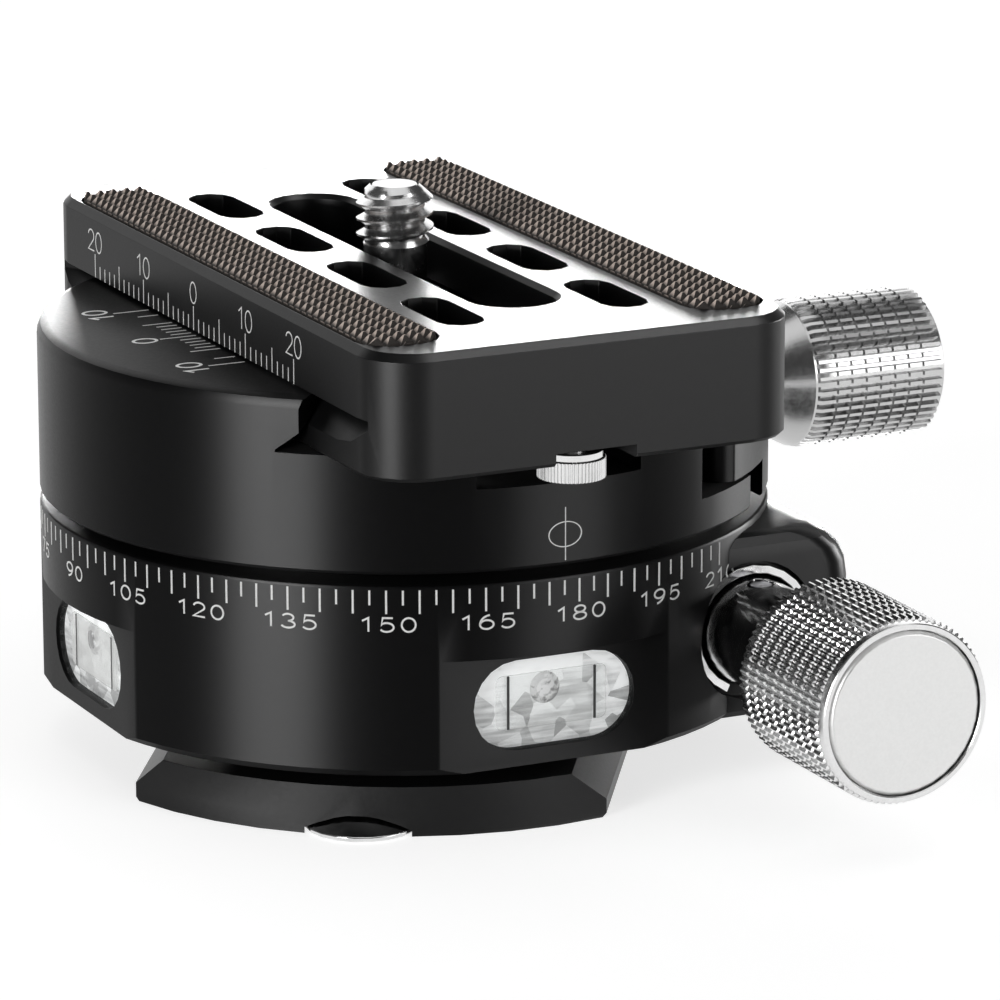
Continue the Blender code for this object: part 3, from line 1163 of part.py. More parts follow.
def groove_cutter(side):
    """The cutter that runs along one long side and leaves the V groove with rounded run-outs."""
    centre_x = side * (PLATE_WIDTH / 2 + GROOVE_CUTTER_RADIUS)
    levels = []
    for depth, height in ((-GROOVE_LEAD, GROOVE_START - GROOVE_LEAD), (0, GROOVE_START),
                          (GROOVE_DEPTH, GROOVE_START + GROOVE_DEPTH), (GROOVE_DEPTH, GROOVE_TOP)):
        outline = stadium((centre_x, -GROOVE_HALF_LENGTH), (centre_x, GROOVE_HALF_LENGTH),
                          GROOVE_CUTTER_RADIUS + depth)
        levels.append((outline, height))
    return loft(levels)


def camera_slot():
    """The long slot: wide below for the screw's head, narrow above, chamfered at the top."""
    reach = SLOT_HALF_LENGTH - SLOT_HALF_WIDTH
    levels = []
    for half_width, height in ((SLOT_LOWER_HALF_WIDTH, -CUT_OVERRUN), (SLOT_LOWER_HALF_WIDTH, SLOT_LEDGE),
                               (SLOT_HALF_WIDTH, SLOT_LEDGE), (SLOT_HALF_WIDTH, PLATE_HEIGHT - SLOT_CHAMFER),
                               (SLOT_HALF_WIDTH + SLOT_CHAMFER, PLATE_HEIGHT),
                               (SLOT_HALF_WIDTH + SLOT_CHAMFER, PLATE_HEIGHT + CUT_OVERRUN)):
        levels.append((stadium((0, -reach), (0, reach), half_width), height))
    return loft(levels)


def small_slot_places():
    rows = (-SMALL_SLOT_OUTER_Y, -SMALL_SLOT_INNER_Y, SMALL_SLOT_INNER_Y, SMALL_SLOT_OUTER_Y)
    return [(x, y) for x in (-SMALL_SLOT_X, SMALL_SLOT_X) for y in rows]


def grip_outline(grow):
    half_width = GRIP_WIDTH / 2 + grow
    half_length = GRIP_LENGTH / 2 + grow
    return rounded_rectangle(-half_width, half_width, -half_length, half_length, GRIP_CORNER + grow, 4)


def add_plate(finish, plate):
    piece = add_piece("quick_release_plate", loft([
        (plate_outline(PLATE_FOOT_CHAMFER), 0),
        (plate_outline(0), PLATE_FOOT_CHAMFER),
        (plate_outline(0), PLATE_HEIGHT - PLATE_TOP_CHAMFER),
        (plate_outline(PLATE_TOP_CHAMFER), PLATE_HEIGHT),
    ]), finish, plate)
    for side in (-1, 1):
        shape_with(piece, "DIFFERENCE", groove_cutter(side))
    shape_with(piece, "DIFFERENCE", camera_slot())
    half = (SMALL_SLOT_LENGTH - SMALL_SLOT_WIDTH) / 2
    for x, y in small_slot_places():
        outline = stadium((x, y - half), (x, y + half), SMALL_SLOT_WIDTH / 2, CORNER_STEPS)
        shape_with(piece, "DIFFERENCE", prism(outline, -CUT_OVERRUN, PLATE_HEIGHT + CUT_OVERRUN))
    for side in (-1, 1):
        recess = prism(grip_outline(GRIP_FIT), PLATE_HEIGHT - GRIP_RECESS, PLATE_HEIGHT + CUT_OVERRUN)
        shape_with(piece, "DIFFERENCE", recess, place=(side * GRIP_X, 0, 0))
    end = PLATE_LENGTH / 2
    stem_top = STOP_BOTTOM - PLATE_BOTTOM + STOP_HEAD_HEIGHT + STOP_STEM_LENGTH
    for side in (-1, 1):
        low_y, high_y = sorted((side * (end - NOTCH_LENGTH), side * (end + CUT_OVERRUN)))
        shape_with(piece, "DIFFERENCE", box(
            -NOTCH_HALF_WIDTH, NOTCH_HALF_WIDTH, low_y, high_y, -CUT_OVERRUN, NOTCH_HEIGHT))
        hole = rod(STOP_STEM_RADIUS + CLEARANCE, -CUT_OVERRUN, stem_top + CLEARANCE, TINY_STEPS)
        shape_with(piece, "DIFFERENCE", hole, place=(0, side * STOP_PLACE, 0))


def add_grip_pads(finish, plate):
    low = PLATE_HEIGHT - GRIP_RECESS + CLEARANCE
    high = PLATE_HEIGHT + GRIP_STAND_PROUD
    for name, side in (("grip_pad_left", -1), ("grip_pad_right", 1)):
        add_piece(name, loft([
            (grip_outline(0), low),
            (grip_outline(0), high - GRIP_EDGE),
            (grip_outline(-GRIP_EDGE), high),
        ]), finish, plate, place=(side * GRIP_X, 0, 0))


def add_stop_screws(finish, plate):
    low = STOP_BOTTOM - PLATE_BOTTOM
    waist = low + STOP_KNURL_HEIGHT
    top = low + STOP_HEAD_HEIGHT
    for name, y in (("plate_stop_screw_near", -STOP_PLACE), ("plate_stop_screw_far", STOP_PLACE)):
        add_piece(name, turned([
            (0, low),
            (STOP_RADIUS - STOP_GROOVE, low),
            (STOP_RADIUS, low + STOP_GROOVE),
            (STOP_RADIUS, waist - STOP_GROOVE),
            (STOP_RADIUS - STOP_GROOVE, waist),
            (STOP_RADIUS - STOP_GROOVE, top - STOP_GROOVE),
            (STOP_RADIUS - STOP_GROOVE - STOP_GROOVE, top),
            (STOP_STEM_RADIUS, top),
            (STOP_STEM_RADIUS, top + STOP_STEM_LENGTH),
            (0, top + STOP_STEM_LENGTH),
        ], SMALL_STEPS), finish, plate, place=(0, y, 0))


# Camera screw
def add_retainer(finish, slider):
    low = PLATE_BOTTOM + CAMERA_HEAD_DROP + CAMERA_HEAD_HEIGHT + RETAINER_GAP
    high = low + RETAINER_THICKNESS
    bore = CAMERA_NECK_RADIUS + CLEARANCE
    add_piece("screw_retainer", turned([
        (bore, low), (CAMERA_HEAD_RADIUS, low), (CAMERA_HEAD_RADIUS, high), (bore, high),
    ], SMALL_STEPS, bored=True), finish, slider)


def add_camera_screw(finish, screw):
    low = PLATE_BOTTOM + CAMERA_HEAD_DROP
    head_top = low + CAMERA_HEAD_HEIGHT
    thread_start = CAMERA_THREAD_START
    lead_in = CAMERA_THREAD_RADIUS - CAMERA_NECK_RADIUS
    piece = add_piece("camera_screw", turned([
        (0, low),
        (CAMERA_HEAD_RADIUS - EDGE_CHAMFER, low),
        (CAMERA_HEAD_RADIUS, low + EDGE_CHAMFER),
        (CAMERA_HEAD_RADIUS, head_top),
        (CAMERA_NECK_RADIUS, head_top),
        (CAMERA_NECK_RADIUS, thread_start),
        (CAMERA_THREAD_RADIUS, thread_start + lead_in),
        (CAMERA_THREAD_RADIUS, CAMERA_SCREW_TOP - CAMERA_TIP_HEIGHT),
        (CAMERA_TIP_RADIUS, CAMERA_SCREW_TOP),
        (0, CAMERA_SCREW_TOP),
    ], SMALL_STEPS), finish, screw)
    half = CAMERA_SLOT_WIDTH / 2
    reach = CAMERA_HEAD_RADIUS + CUT_OVERRUN
    slot = box(-reach, reach, -half, half, low - CUT_OVERRUN, low + CAMERA_SLOT_DEPTH)
    shape_with(piece, "DIFFERENCE", slot)


# Whole object
def build():
    clear_scene()
    black = add_finish("black_anodised_aluminium", (0.016, 0.016, 0.017), 0.42, 0.7)
    silver = add_finish("silver_anodised_aluminium", (0.55, 0.55, 0.56), 0.3, 1)
    bright_steel = add_finish("bright_steel", (0.62, 0.61, 0.59), 0.28, 1)
    screw_steel = add_finish("dark_screw_steel", (0.05, 0.05, 0.055), 0.38, 1)
    bronze = add_finish("bearing_bronze", (0.50, 0.30, 0.12), 0.35, 1)
    gear_steel = add_finish("gear_steel", (0.45, 0.45, 0.46), 0.3, 1)
    washer_plastic = add_finish("washer_plastic", (0.75, 0.74, 0.70), 0.5, 0)
    clear_block = add_finish("clear_acrylic", (0.85, 0.9, 0.85), 0.08, 0)
    vial_fluid = add_finish("vial_fluid", (0.78, 0.80, 0.76), 0.1, 0)
    rubber = add_finish("grip_rubber", (0.14, 0.125, 0.105), 0.75, 0)
    cap_metal = add_finish("cap_satin_metal", (0.75, 0.75, 0.75), 0.4, 1)

    base = add_frame("base")
    foot = add_frame("foot_line", turn=(0, 0, FOOT_TURN), carrier=base)
    worm = add_frame("worm_axis", (WORM_X, 0, WORM_HEIGHT), (QUARTER, 0, 0), base)
    front_window = add_frame("front_window", (0, -FLAT_DISTANCE, WINDOW_LEVEL), (QUARTER, 0, 0), base)
    left_window = add_frame("left_window", (-FLAT_DISTANCE, 0, WINDOW_LEVEL), (QUARTER, 0, -QUARTER), base)
    pan = add_frame("pan_axis", carrier=base)
    jaw = add_frame("jaw_slide", carrier=pan)
    clamp = add_frame("clamp_axis", (0, 0, CLAMP_HEIGHT), (0, QUARTER, 0), jaw)
    plate = add_frame("plate_slide", (PLATE_X, PLATE_Y, PLATE_BOTTOM), carrier=pan)
    screw = add_frame("camera_screw_axis", (PLATE_X, CAMERA_SCREW_Y, 0), carrier=pan)

    add_dovetail_foot(black, foot)
    add_foot_stop_screws(bright_steel, foot)
    add_foot_screws(screw_steel, foot)
    add_tripod_bush(bright_steel, foot)
    add_lower_housing(black, base, foot, worm, (front_window, left_window))
    add_vial("front", clear_block, vial_fluid, front_window)
    add_vial("left", clear_block, vial_fluid, left_window)
    add_spindle_bush(bronze, base)
    add_thrust_washer(washer_plastic, base)
    add_worm_supports(bright_steel, bronze, bright_steel, screw_steel, worm)
    add_worm_shaft(gear_steel, worm)
    add_drive_knob(silver, cap_metal, screw_steel, worm)
    add_worm_wheel(bronze, pan)
    add_wheel_key(gear_steel, pan)
    add_pan_spindle(gear_steel, pan)
    add_spindle_nut(screw_steel, pan)
    add_body_screws(screw_steel, pan)
    add_upper_body(black, pan, clamp)
    add_moving_jaw(black, jaw, clamp)
    add_guide_pins(gear_steel, jaw)
    add_clamp_screw(gear_steel, screw_steel, clamp)
    add_clamp_knob(silver, washer_plastic, clamp)
    add_plate(black, plate)
    add_grip_pads(rubber, plate)
    add_stop_screws(bright_steel, plate)
    add_retainer(screw_steel, screw)
    add_camera_screw(gear_steel, screw)


build()
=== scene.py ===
import json
from math import ceil, cos, dist, pi, radians, sin, tau

import bmesh
import bpy
from mathutils import Matrix, Vector

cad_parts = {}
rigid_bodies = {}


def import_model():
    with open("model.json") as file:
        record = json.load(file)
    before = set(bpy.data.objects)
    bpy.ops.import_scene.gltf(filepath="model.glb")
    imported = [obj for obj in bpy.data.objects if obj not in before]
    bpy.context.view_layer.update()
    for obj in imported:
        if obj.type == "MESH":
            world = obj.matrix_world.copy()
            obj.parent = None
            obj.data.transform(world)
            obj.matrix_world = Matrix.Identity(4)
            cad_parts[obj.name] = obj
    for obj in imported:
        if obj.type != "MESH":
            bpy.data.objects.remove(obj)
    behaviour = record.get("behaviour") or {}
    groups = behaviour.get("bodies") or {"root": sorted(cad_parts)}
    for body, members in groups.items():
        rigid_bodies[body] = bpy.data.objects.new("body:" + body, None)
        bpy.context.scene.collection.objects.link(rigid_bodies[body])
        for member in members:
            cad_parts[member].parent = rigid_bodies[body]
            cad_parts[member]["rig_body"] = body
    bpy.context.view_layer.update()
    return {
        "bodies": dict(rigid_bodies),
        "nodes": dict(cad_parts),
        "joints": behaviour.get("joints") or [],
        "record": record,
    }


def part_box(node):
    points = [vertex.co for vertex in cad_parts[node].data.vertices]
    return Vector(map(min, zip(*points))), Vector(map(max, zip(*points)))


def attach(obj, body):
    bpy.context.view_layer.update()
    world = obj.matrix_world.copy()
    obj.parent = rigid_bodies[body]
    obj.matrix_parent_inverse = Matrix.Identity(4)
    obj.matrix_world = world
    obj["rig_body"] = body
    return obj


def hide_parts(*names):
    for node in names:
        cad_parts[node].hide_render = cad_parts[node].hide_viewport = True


# Camera at the photograph's view
CAMERA_TARGET = Vector((0.00598, -0.00581, 0.0206))
CAMERA_DISTANCE = 0.50761
CAMERA_AZIMUTH = radians(-25.48)
CAMERA_ELEVATION = radians(14.95)
CAMERA_ROLL = radians(-0.10)
CAMERA_LENS_MM = 222.41
CAMERA_SENSOR_MM = 36
CAMERA_NEAR = 0.05
CAMERA_FAR = 20.0

# Floor and room
FLOOR_HALF_WIDTH = 4.0
FLOOR_ALBEDO = 0.50
FLOOR_ROUGHNESS = 0.9
FLOOR_TONES = (30, 2.0, 0.99, 1.01)
FLOOR_GLOW = 0.72
ROOM_LEVEL = 0.07
WHITE = (1, 1, 1, 1)

# Lights: azimuth and elevation in degrees, width, height and brightness, where 1 is white
LIGHT_REACH = 1.50
SOFTBOXES = {
    "left": (-64, 13, 0.50, 0.66, 12.0),
    "right": (35, 14, 0.70, 0.70, 3.5),
    "back": (170, 20, 2.60, 1.20, 1.5),
    "top": (20, 82, 1.60, 1.60, 1.0),
}

# Strips that show only as reflections in the black metal
BLACK_STRIPS = {
    "left_strip": (-65, 4, 0.74, 0.22, 210.0),
    "right_strip": (25, 4, 0.75, 0.22, 70.0),
    "back_strip": (170, 20, 2.60, 1.20, 1.7),
    "high_strip": (58, 61, 0.60, 0.50, 24.0),
    "side_strip": (96, 4, 0.60, 0.22, 80.0),
    "rear_strip": (152, 4, 0.60, 0.22, 80.0),
}

# Directions
UP = Vector((0, 0, 1))
FRONT = (0, -1, 0)
LEFT = (-1, 0, 0)
RIGHT = (1, 0, 0)
QUARTER = pi / 2
X_AXIS, Y_AXIS, Z_AXIS = range(3)

# Welding and edges of the dressed copies
WELD = 0.000002
FLAT_ANGLE = radians(0.4)
SHARP_ANGLE = radians(28)
BODY_EDGE = 0.00016
SMALL_EDGE = 0.00007
PLATE_EDGE = 0.00012

# Print
PRINT_LIFT = 0.000015
PRINT_ROOT = 0.000060
BOW_STEPS = 24
MITRE_LIMIT = 0.5
FIGURE_ONE_SHARE = 0.80

# Ring scale on the lower housing
RING_TICKS = 144
RING_ZERO = radians(-177.38)
RING_TICK_TOP_DROP = 0.00035
RING_LONG_TICK = 0.00190
RING_SHORT_TICK = 0.00120
RING_TICK_WIDTH = 0.00016
RING_FIGURE_EVERY = 6
RING_FIGURE_HEIGHT = 0.00127
RING_FIGURE_GAP = 0.00025
RING_FIGURE_WIDTH = 0.00124
RING_FIGURE_SPACE = 0.00046
RING_FIGURE_SHIFT = 0.00018
RING_FIGURE_LINE = 0.00015
RING_LUG_START = radians(33.4)
RING_LUG_END = radians(101)

# Range in which most of a noise lies
NOISE_LOW = 0.3
NOISE_HIGH = 0.7
NOISE_MIDDLE = 0.5

# Tones and roughness of a finish: the noise's scale and detail, then its low and high ends.
# Relief of a finish: the noise's scale and detail, then its depth and strength
BLACK = (0.0022, 0.0022, 0.0024)
BLACK_TONES = (1500, 2.0, 0.90, 1.15)
BLACK_NOISE = (4000, 2.0)
BLACK_SPREAD = 0.02
BLACK_RELIEF = (12000, 2.0, 0.000002, 0.4)
BLASTED_RELIEF = (6000, 2.0, 0.000002, 0.4)
TURNED_ROTATION = 0.25
KNOB_TONES = (2500, 2.0, 0.95, 1.02)
KNOB_ROUGHNESS = (2500, 2.0, 0.20, 0.27)
CAP_TONES = (4000, 2.0, 0.97, 1.02)
CAP_ROUGHNESS = (4000, 2.0, 0.42, 0.48)
STEEL_TONES = (500, 3.0, 0.92, 1.04)
STEEL_NOISE = (1800, 3.0)
STEEL_SMOOTHER = 0.03
STEEL_ROUGHER = 0.08
RUBBER_PATCHES = (2500, 2.0, 0.25)
# Ends of the rubber's colour, spread wide for the painted shade in its grooves and on its flanks
RUBBER_TONE_AND_PAINTED_SHADE = (0.08, 1.60)
RUBBER_ROUGHNESS = (2500, 2.0, 0.58, 0.72)
RUBBER_RELIEF = (11000, 2.0, 0.000003, 0.4)
WINDOW_ROUGHNESS = (900, 2.0, 0.04, 0.10)
WINDOW_RELIEF = (300, 2.0, 0.000010, 0.3)
# Glowing sheet inside the windows, all painted light: facets and streaks, painted shade lower down, and the
# ends of its painted light
GLOW_SHEET_PAINTED_FACETS = 620.0
GLOW_SHEET_FACET_SHARE = 0.35
GLOW_SHEET_PAINTED_STREAKS = (2400, 2.0, (0.10, 0.10, 1.0))
GLOW_SHEET_STREAK_SHARE = 0.55
GLOW_SHEET_SHADE_FALL = (-0.10, 0.30)
GLOW_SHEET_LIGHT_RANGE = (0.42, 1.36)
GLOW_SHEET_ROUGHNESS = (900, 2.0, 0.2, 0.4)
GLOW_SHEET_RELIEF = (1500, 2.0, 0.000030, 0.5)
# Vial glass: painted reflection, whiter and less clear towards its rims
GLASS_BLEND = 0.35
GLASS_RIM = (0.1, 0.6)
GLASS_ALPHA = (0.12, 0.70)
GLASS_ROUGHNESS = (900, 2.0, 0.05, 0.14)
GLASS_RELIEF = (500, 2.0, 0.000012, 0.4)
# Bubble: painted shade towards its rim, random patches, and the ends of its painted light and shade
BUBBLE_BLEND = 0.5
BUBBLE_PATCHES = (2200, 3.0, 2.2)
BUBBLE_SHIFT = 0.16
BUBBLE_PAINTED_LIGHT_AND_SHADE = (1.15, 0.12)
BUBBLE_ROUGHNESS = (900, 2.0, 0.06, 0.16)
BUBBLE_RELIEF = (900, 2.0, 0.000020, 0.4)

# A lathe's rings: scale, depth and strength
LATHE_DETAIL = 3.0
LATHE_FINE = (9000, 0.000001, 0.3)
LATHE_FAINT = (9000, 0.000001, 0.2)
LATHE_STEEL = (7000, 0.000003, 0.5)

# Finishes with nothing of their own: colour, roughness, metal, tones, roughness, relief
PLAIN_FINISHES = {
    "blackened_steel": ((0.10, 0.10, 0.11), 0.38, 1.0, (600, 3.0, 0.80, 1.20),
        (2500, 3.0, 0.30, 0.46), (9000, 2.0, 0.000003, 0.5)),
    "gear_steel": ((0.52, 0.51, 0.50), 0.28, 1.0, (600, 3.0, 0.85, 1.10),
        (2500, 3.0, 0.22, 0.36), (9000, 2.0, 0.000003, 0.5)),
    "bronze": ((0.60, 0.36, 0.16), 0.30, 1.0, (500, 3.0, 0.80, 1.12),
        (2500, 3.0, 0.24, 0.40), (8000, 2.0, 0.000003, 0.5)),
    "washer_plastic": ((0.02, 0.02, 0.02), 0.50, 0.0, (400, 3.0, 0.80, 1.20),
        (2000, 3.0, 0.44, 0.58), (7000, 2.0, 0.000004, 0.5)),
    "print_white": ((0.86, 0.86, 0.85), 0.45, 0.0, (5000, 2.0, 0.90, 1.02),
        (5000, 2.0, 0.40, 0.52), (14000, 2.0, 0.000002, 0.4)),
    "line_black": ((0.010, 0.010, 0.010), 0.40, 0.0, None,
        (4000, 2.0, 0.34, 0.48), (12000, 2.0, 0.000002, 0.4)),
}

# Shade and roughness of single metal pieces
DRIVE_SHADE = 0.76
# The clamp knob has the drive knob's silver made darker: painted shade
CLAMP_PAINTED_SHADE = 0.56
STEEL_SHADE = 0.76
SCREW_SHADE = 0.62
SCREW_ROUGHNESS = 0.20
SLEEVE_ROUGHNESS = 0.12
PLATE_STOP_ROUGHNESS = 0.16
FOOT_STOP_ROUGHNESS = 0.14
INNER_ROUGHNESS = 0.20

# Index mark on the upper body
INDEX_X = 0.00012
INDEX_BASE_RISE = 0.00085
INDEX_FOOT_RISE = 0.00043
INDEX_LENGTH = 0.00430
INDEX_WIDTH = 0.00008
INDEX_OVAL_WIDTH = 0.00284
INDEX_OVAL_HEIGHT = 0.00202
INDEX_OVAL_RISE = 0.00254
INDEX_OVAL_STEPS = 48

# Scale on the plate's left side. Its last figure stands a step early, as in the photograph
PLATE_ZERO_Y = 0.00023
PLATE_PITCH = 0.00106
PLATE_COUNT = 20
PLATE_LAST = 19
PLATE_TICK_RISE = 0.00454
PLATE_LONG_TICK = 0.00199
PLATE_SHORT_TICK = 0.00110
PLATE_TICK_WIDTH = 0.00013
PLATE_FIGURE_HEIGHT = 0.00185
PLATE_FIGURE_GAP = 0.00018
PLATE_FIGURE_WIDTH = 0.00140
PLATE_FIGURE_SPACE = 0.00025
PLATE_FIGURE_LINE = 0.00012

# Vernier on the fixed jaw
VERNIER_PITCH = 0.00100
VERNIER_ZERO_Y = -0.00040
VERNIER_EDGE_X = -0.01860
VERNIER_TICKS = (0, 1, 2, 3, 4, 5, 8, 10)
VERNIER_ZERO_TICK = 0.00310
VERNIER_MIDDLE_TICK = 0.00255
VERNIER_TICK = 0.00175
VERNIER_TICK_WIDTH = 0.00016
VERNIER_FIGURE_HEIGHT = 0.00222
VERNIER_FIGURE_GAP = 0.00020
VERNIER_FIGURE_WIDTH = 0.00170
VERNIER_FIGURE_SPACE = 0.00035
VERNIER_FIGURE_LINE = 0.00026

# Drive knob: straight ridges cut by ring grooves
RIDGES = 75
RIDGE_TOP = 0.00015
RIDGE_DEPTH = 0.00025
RIDGE_FLOOR = 0.00010
KNURL_ROWS = 9
KNURL_PITCH = 0.00142
KNURL_FIRST = 0.00027
KNURL_BLOCK = 0.00100
KNURL_FLANK = 0.00013
KNOB_FRONT_ROUND = 0.00060
KNOB_RIM_SET_IN = 0.00035
KNOB_RIM_INNER = 0.00668
KNOB_RIM_EDGE = 0.00008
KNOB_RECESS = 0.00120
KNOB_BACK_EDGE = 0.00020
KNURL_SHARP = radians(20)

# Clamp knob: teeth cut by narrow ring slits
TEETH = 50
TOOTH_PHASE = radians(177.3)
TOOTH_TOP_SHARE = 0.40
TOOTH_FLOOR_SHARE = 0.36
TOOTH_DEPTH = 0.00055
TOOTH_START = 0.00490
TOOTH_POINT = 0.00045
TOOTH_END_GAP = 0.00050
SLIT_FIRST = 0.00660
SLIT_PITCH = 0.00137
SLIT_WIDTH = 0.00022
SLITS = 7
NECK_RADIUS = 0.00440
NECK_FLAT = 0.00040
NECK_TAPER = 0.00430
NECK_CURVE = 0.8
NECK_STEPS = 10
SHOULDER_RADIUS = 0.00615
RIM_RADIUS = 0.00573
DISH_RADIUS = 0.00460
DISH_DEPTH = 0.00050
END_EDGE = 0.00012
TOOTH_SHARP = radians(24)
ROUND_STEPS = 96

# Camera screw thread, 20 turns to the inch
INCH = 0.0254
THREAD_PITCH = INCH / 20
THREAD_MINOR = 0.00248
THREAD_MAJOR = 0.00317
THREAD_CREST = 0.00016
THREAD_ROOT = 0.00030
THREAD_STEPS = 64
THREAD_SPARE_TURNS = 2
THREAD_SHARP = radians(35)
SCREW_HEAD_RADIUS = 0.00430
SCREW_HEAD_HEIGHT = 0.00450
SCREW_NECK_RADIUS = 0.00260
THREAD_START_DROP = 0.00490
THREAD_PHASE = 0.00068
TIP_RADIUS = 0.00200
TIP_HEIGHT = 0.00110
TIP_EDGE = 0.00010

# Grip pads: a sheet of small pyramids cut to the pad's outline
PYRAMID_PITCH = 0.00118
PYRAMID_HEIGHT = 0.00075
PYRAMID_TIP = 0.00016
PAD_CORNER = 0.00260
PAD_CORNER_STEPS = 8

# Stop screws under the plate
FLUTES = 56
FLUTE_DEPTH = 0.00012
FLUTE_SHARE = 0.34
STOP_RADIUS = 0.00270
STOP_FLUTED_HEIGHT = 0.00180
STOP_HEAD_HEIGHT = 0.00240
STOP_STEP_IN = 0.00020
STOP_EDGE = 0.00012
STOP_STEM_RADIUS = 0.00125

# Level vials
WINDOW_RIM_GAP = 0.00004
WINDOW_GROWTH = 0.00027
WINDOW_CORNER_STEPS = 12
VIAL_FRONT_DEPTH = 0.00022
VIAL_THICKNESS = 0.00020
VIAL_LENGTH = 0.00970
VIAL_WIDTH = 0.00450
VIAL_RISE = 0.00010
VIAL_CORNER = 0.00060
VIAL_EDGE = 0.00008
VIAL_EDGE_SEGMENTS = 3
# Depth of the glowing sheet of painted light behind the vial
GLOW_SHEET_DEPTH = 0.00045
LINE_PLACE = 0.00380
LINE_WIDTH = 0.00021
LINE_CORNER = LINE_WIDTH / 4
LINE_CORNER_STEPS = 3
LINE_HEIGHT = 0.00440
BUBBLE_RADIUS = 0.00155
BUBBLE_TOP = 0.00012
BUBBLE_PLACE = -0.00050
BUBBLE_RISE = 0.00095
BUBBLE_FLATNESS = 0.45
BUBBLE_STEPS = 40
BUBBLE_RINGS = 12


# Materials
class Finish:
    """One material: a Principled shader and the nodes that vary it over the surface."""

    def __init__(self, name, colour, roughness, metallic=0.0, **sockets):
        self.material = bpy.data.materials.new(name)
        self.material.use_nodes = True
        self.tree = self.material.node_tree
        self.shader = self.tree.nodes["Principled BSDF"]
        self.colour = colour
        self.heights = []
        self.set(self.shader, {"Base Color": (*colour, 1), "Roughness": roughness, "Metallic": metallic})
        self.set(self.shader, {socket.replace("_", " "): value for socket, value in sockets.items()})

    def set(self, node, values):
        for socket, value in values.items():
            node.inputs[socket].default_value = value

    def node(self, kind, **settings):
        node = self.tree.nodes.new(kind)
        for setting, value in settings.items():
            setattr(node, setting, value)
        return node

    def link(self, source, target):
        self.tree.links.new(source, target)

    def math(self, operation, *values):
        node = self.node("ShaderNodeMath", operation=operation)
        for number, value in enumerate(values):
            if isinstance(value, bpy.types.NodeSocket):
                self.link(value, node.inputs[number])
            else:
                node.inputs[number].default_value = value
        return node.outputs[0]

    def place(self, centre=(0, 0, 0)):
        """The surface point, measured from a centre, as three sockets."""
        coordinates = self.node("ShaderNodeTexCoord")
        shift = self.node("ShaderNodeMapping", vector_type="POINT")
        self.set(shift, {"Location": [-value for value in centre]})
        self.link(coordinates.outputs["Object"], shift.inputs["Vector"])
        split = self.node("ShaderNodeSeparateXYZ")
        self.link(shift.outputs[0], split.inputs[0])
        return shift.outputs[0], split.outputs

    def noise(self, vector, scale, detail):
        texture = self.node("ShaderNodeTexNoise")
        self.set(texture, {"Scale": scale, "Detail": detail})
        self.link(vector, texture.inputs["Vector"])
        return texture.outputs[0]

    def grain(self, scale, detail, stretch=(1, 1, 1)):
        """Noise over the surface, finer where stretch is larger."""
        vector, _ = self.place()
        stretched = self.node("ShaderNodeMapping", vector_type="POINT")
        self.set(stretched, {"Scale": stretch})
        self.link(vector, stretched.inputs["Vector"])
        return self.noise(stretched.outputs[0], scale, detail)

    def patches(self, scale, detail, share):
        """Noise to both sides of nought."""
        centred = self.math("SUBTRACT", self.grain(scale, detail), NOISE_MIDDLE)
        return self.math("MULTIPLY", centred, share)

    def spread(self, source, old, new=(0, 1)):
        """Carries a value from one range to another, and stops at its ends."""
        ends = self.node("ShaderNodeMapRange")
        self.set(ends, {"From Min": old[0], "From Max": old[1], "To Min": new[0], "To Max": new[1]})
        self.link(source, ends.inputs["Value"])
        return ends.outputs[0]

    def rim(self, blend):
        """Grows from the middle of a round thing to its edge."""
        edge = self.node("ShaderNodeLayerWeight")
        self.set(edge, {"Blend": blend})
        return edge.outputs["Facing"]

    def vary_colour(self, source, low, high):
        """Base colour between two shades of the finish, over the range of a noise."""
        ramp = self.node("ShaderNodeValToRGB")
        ends = ((NOISE_LOW, low), (NOISE_HIGH, high))
        for element, (position, shade) in zip(ramp.color_ramp.elements, ends):
            element.position = position
            element.color = (*[value * shade for value in self.colour], 1)
        self.link(source, ramp.inputs[0])
        self.link(ramp.outputs[0], self.shader.inputs["Base Color"])
        return ramp.outputs[0]

    def vary_roughness(self, source, low, high):
        rough = self.spread(source, (NOISE_LOW, NOISE_HIGH), (low, high))
        self.link(rough, self.shader.inputs["Roughness"])

    def bump(self, source, depth, strength):
        bump = self.node("ShaderNodeBump")
        self.set(bump, {"Strength": strength, "Distance": depth})
        self.link(source, bump.inputs["Height"])
        if self.heights:
            self.link(self.heights[-1], bump.inputs["Normal"])
        self.heights.append(bump.outputs[0])
        self.link(bump.outputs[0], self.shader.inputs["Normal"])

    def vary(self, tones=None, roughness=None, relief=None):
        """Noise in the colour, the roughness and the height of the surface."""
        if tones:
            self.vary_colour(self.grain(*tones[:2]), *tones[2:])
        if roughness:
            self.vary_roughness(self.grain(*roughness[:2]), *roughness[2:])
        if relief:
            self.bump(self.grain(*relief[:2]), *relief[2:])
        return self

    def turn(self, axis, centre, lines):
        """Fine rings round an axis, as a lathe leaves them on faces and on rims."""
        scale, depth, strength = lines
        _, parts = self.place(centre)
        first, second = [parts[number] for number in range(3) if number != axis]
        squares = [self.math("MULTIPLY", part, part) for part in (first, second)]
        vector = self.node("ShaderNodeCombineXYZ")
        self.link(self.math("SQRT", self.math("ADD", *squares)), vector.inputs[0])
        self.link(parts[axis], vector.inputs[1])
        self.bump(self.noise(vector.outputs[0], scale, LATHE_DETAIL), depth, strength)
        return self


def plain_finish(name):
    colour, roughness, metallic, *noises = PLAIN_FINISHES[name]
    return Finish(name, colour, roughness, metallic).vary(*noises).material


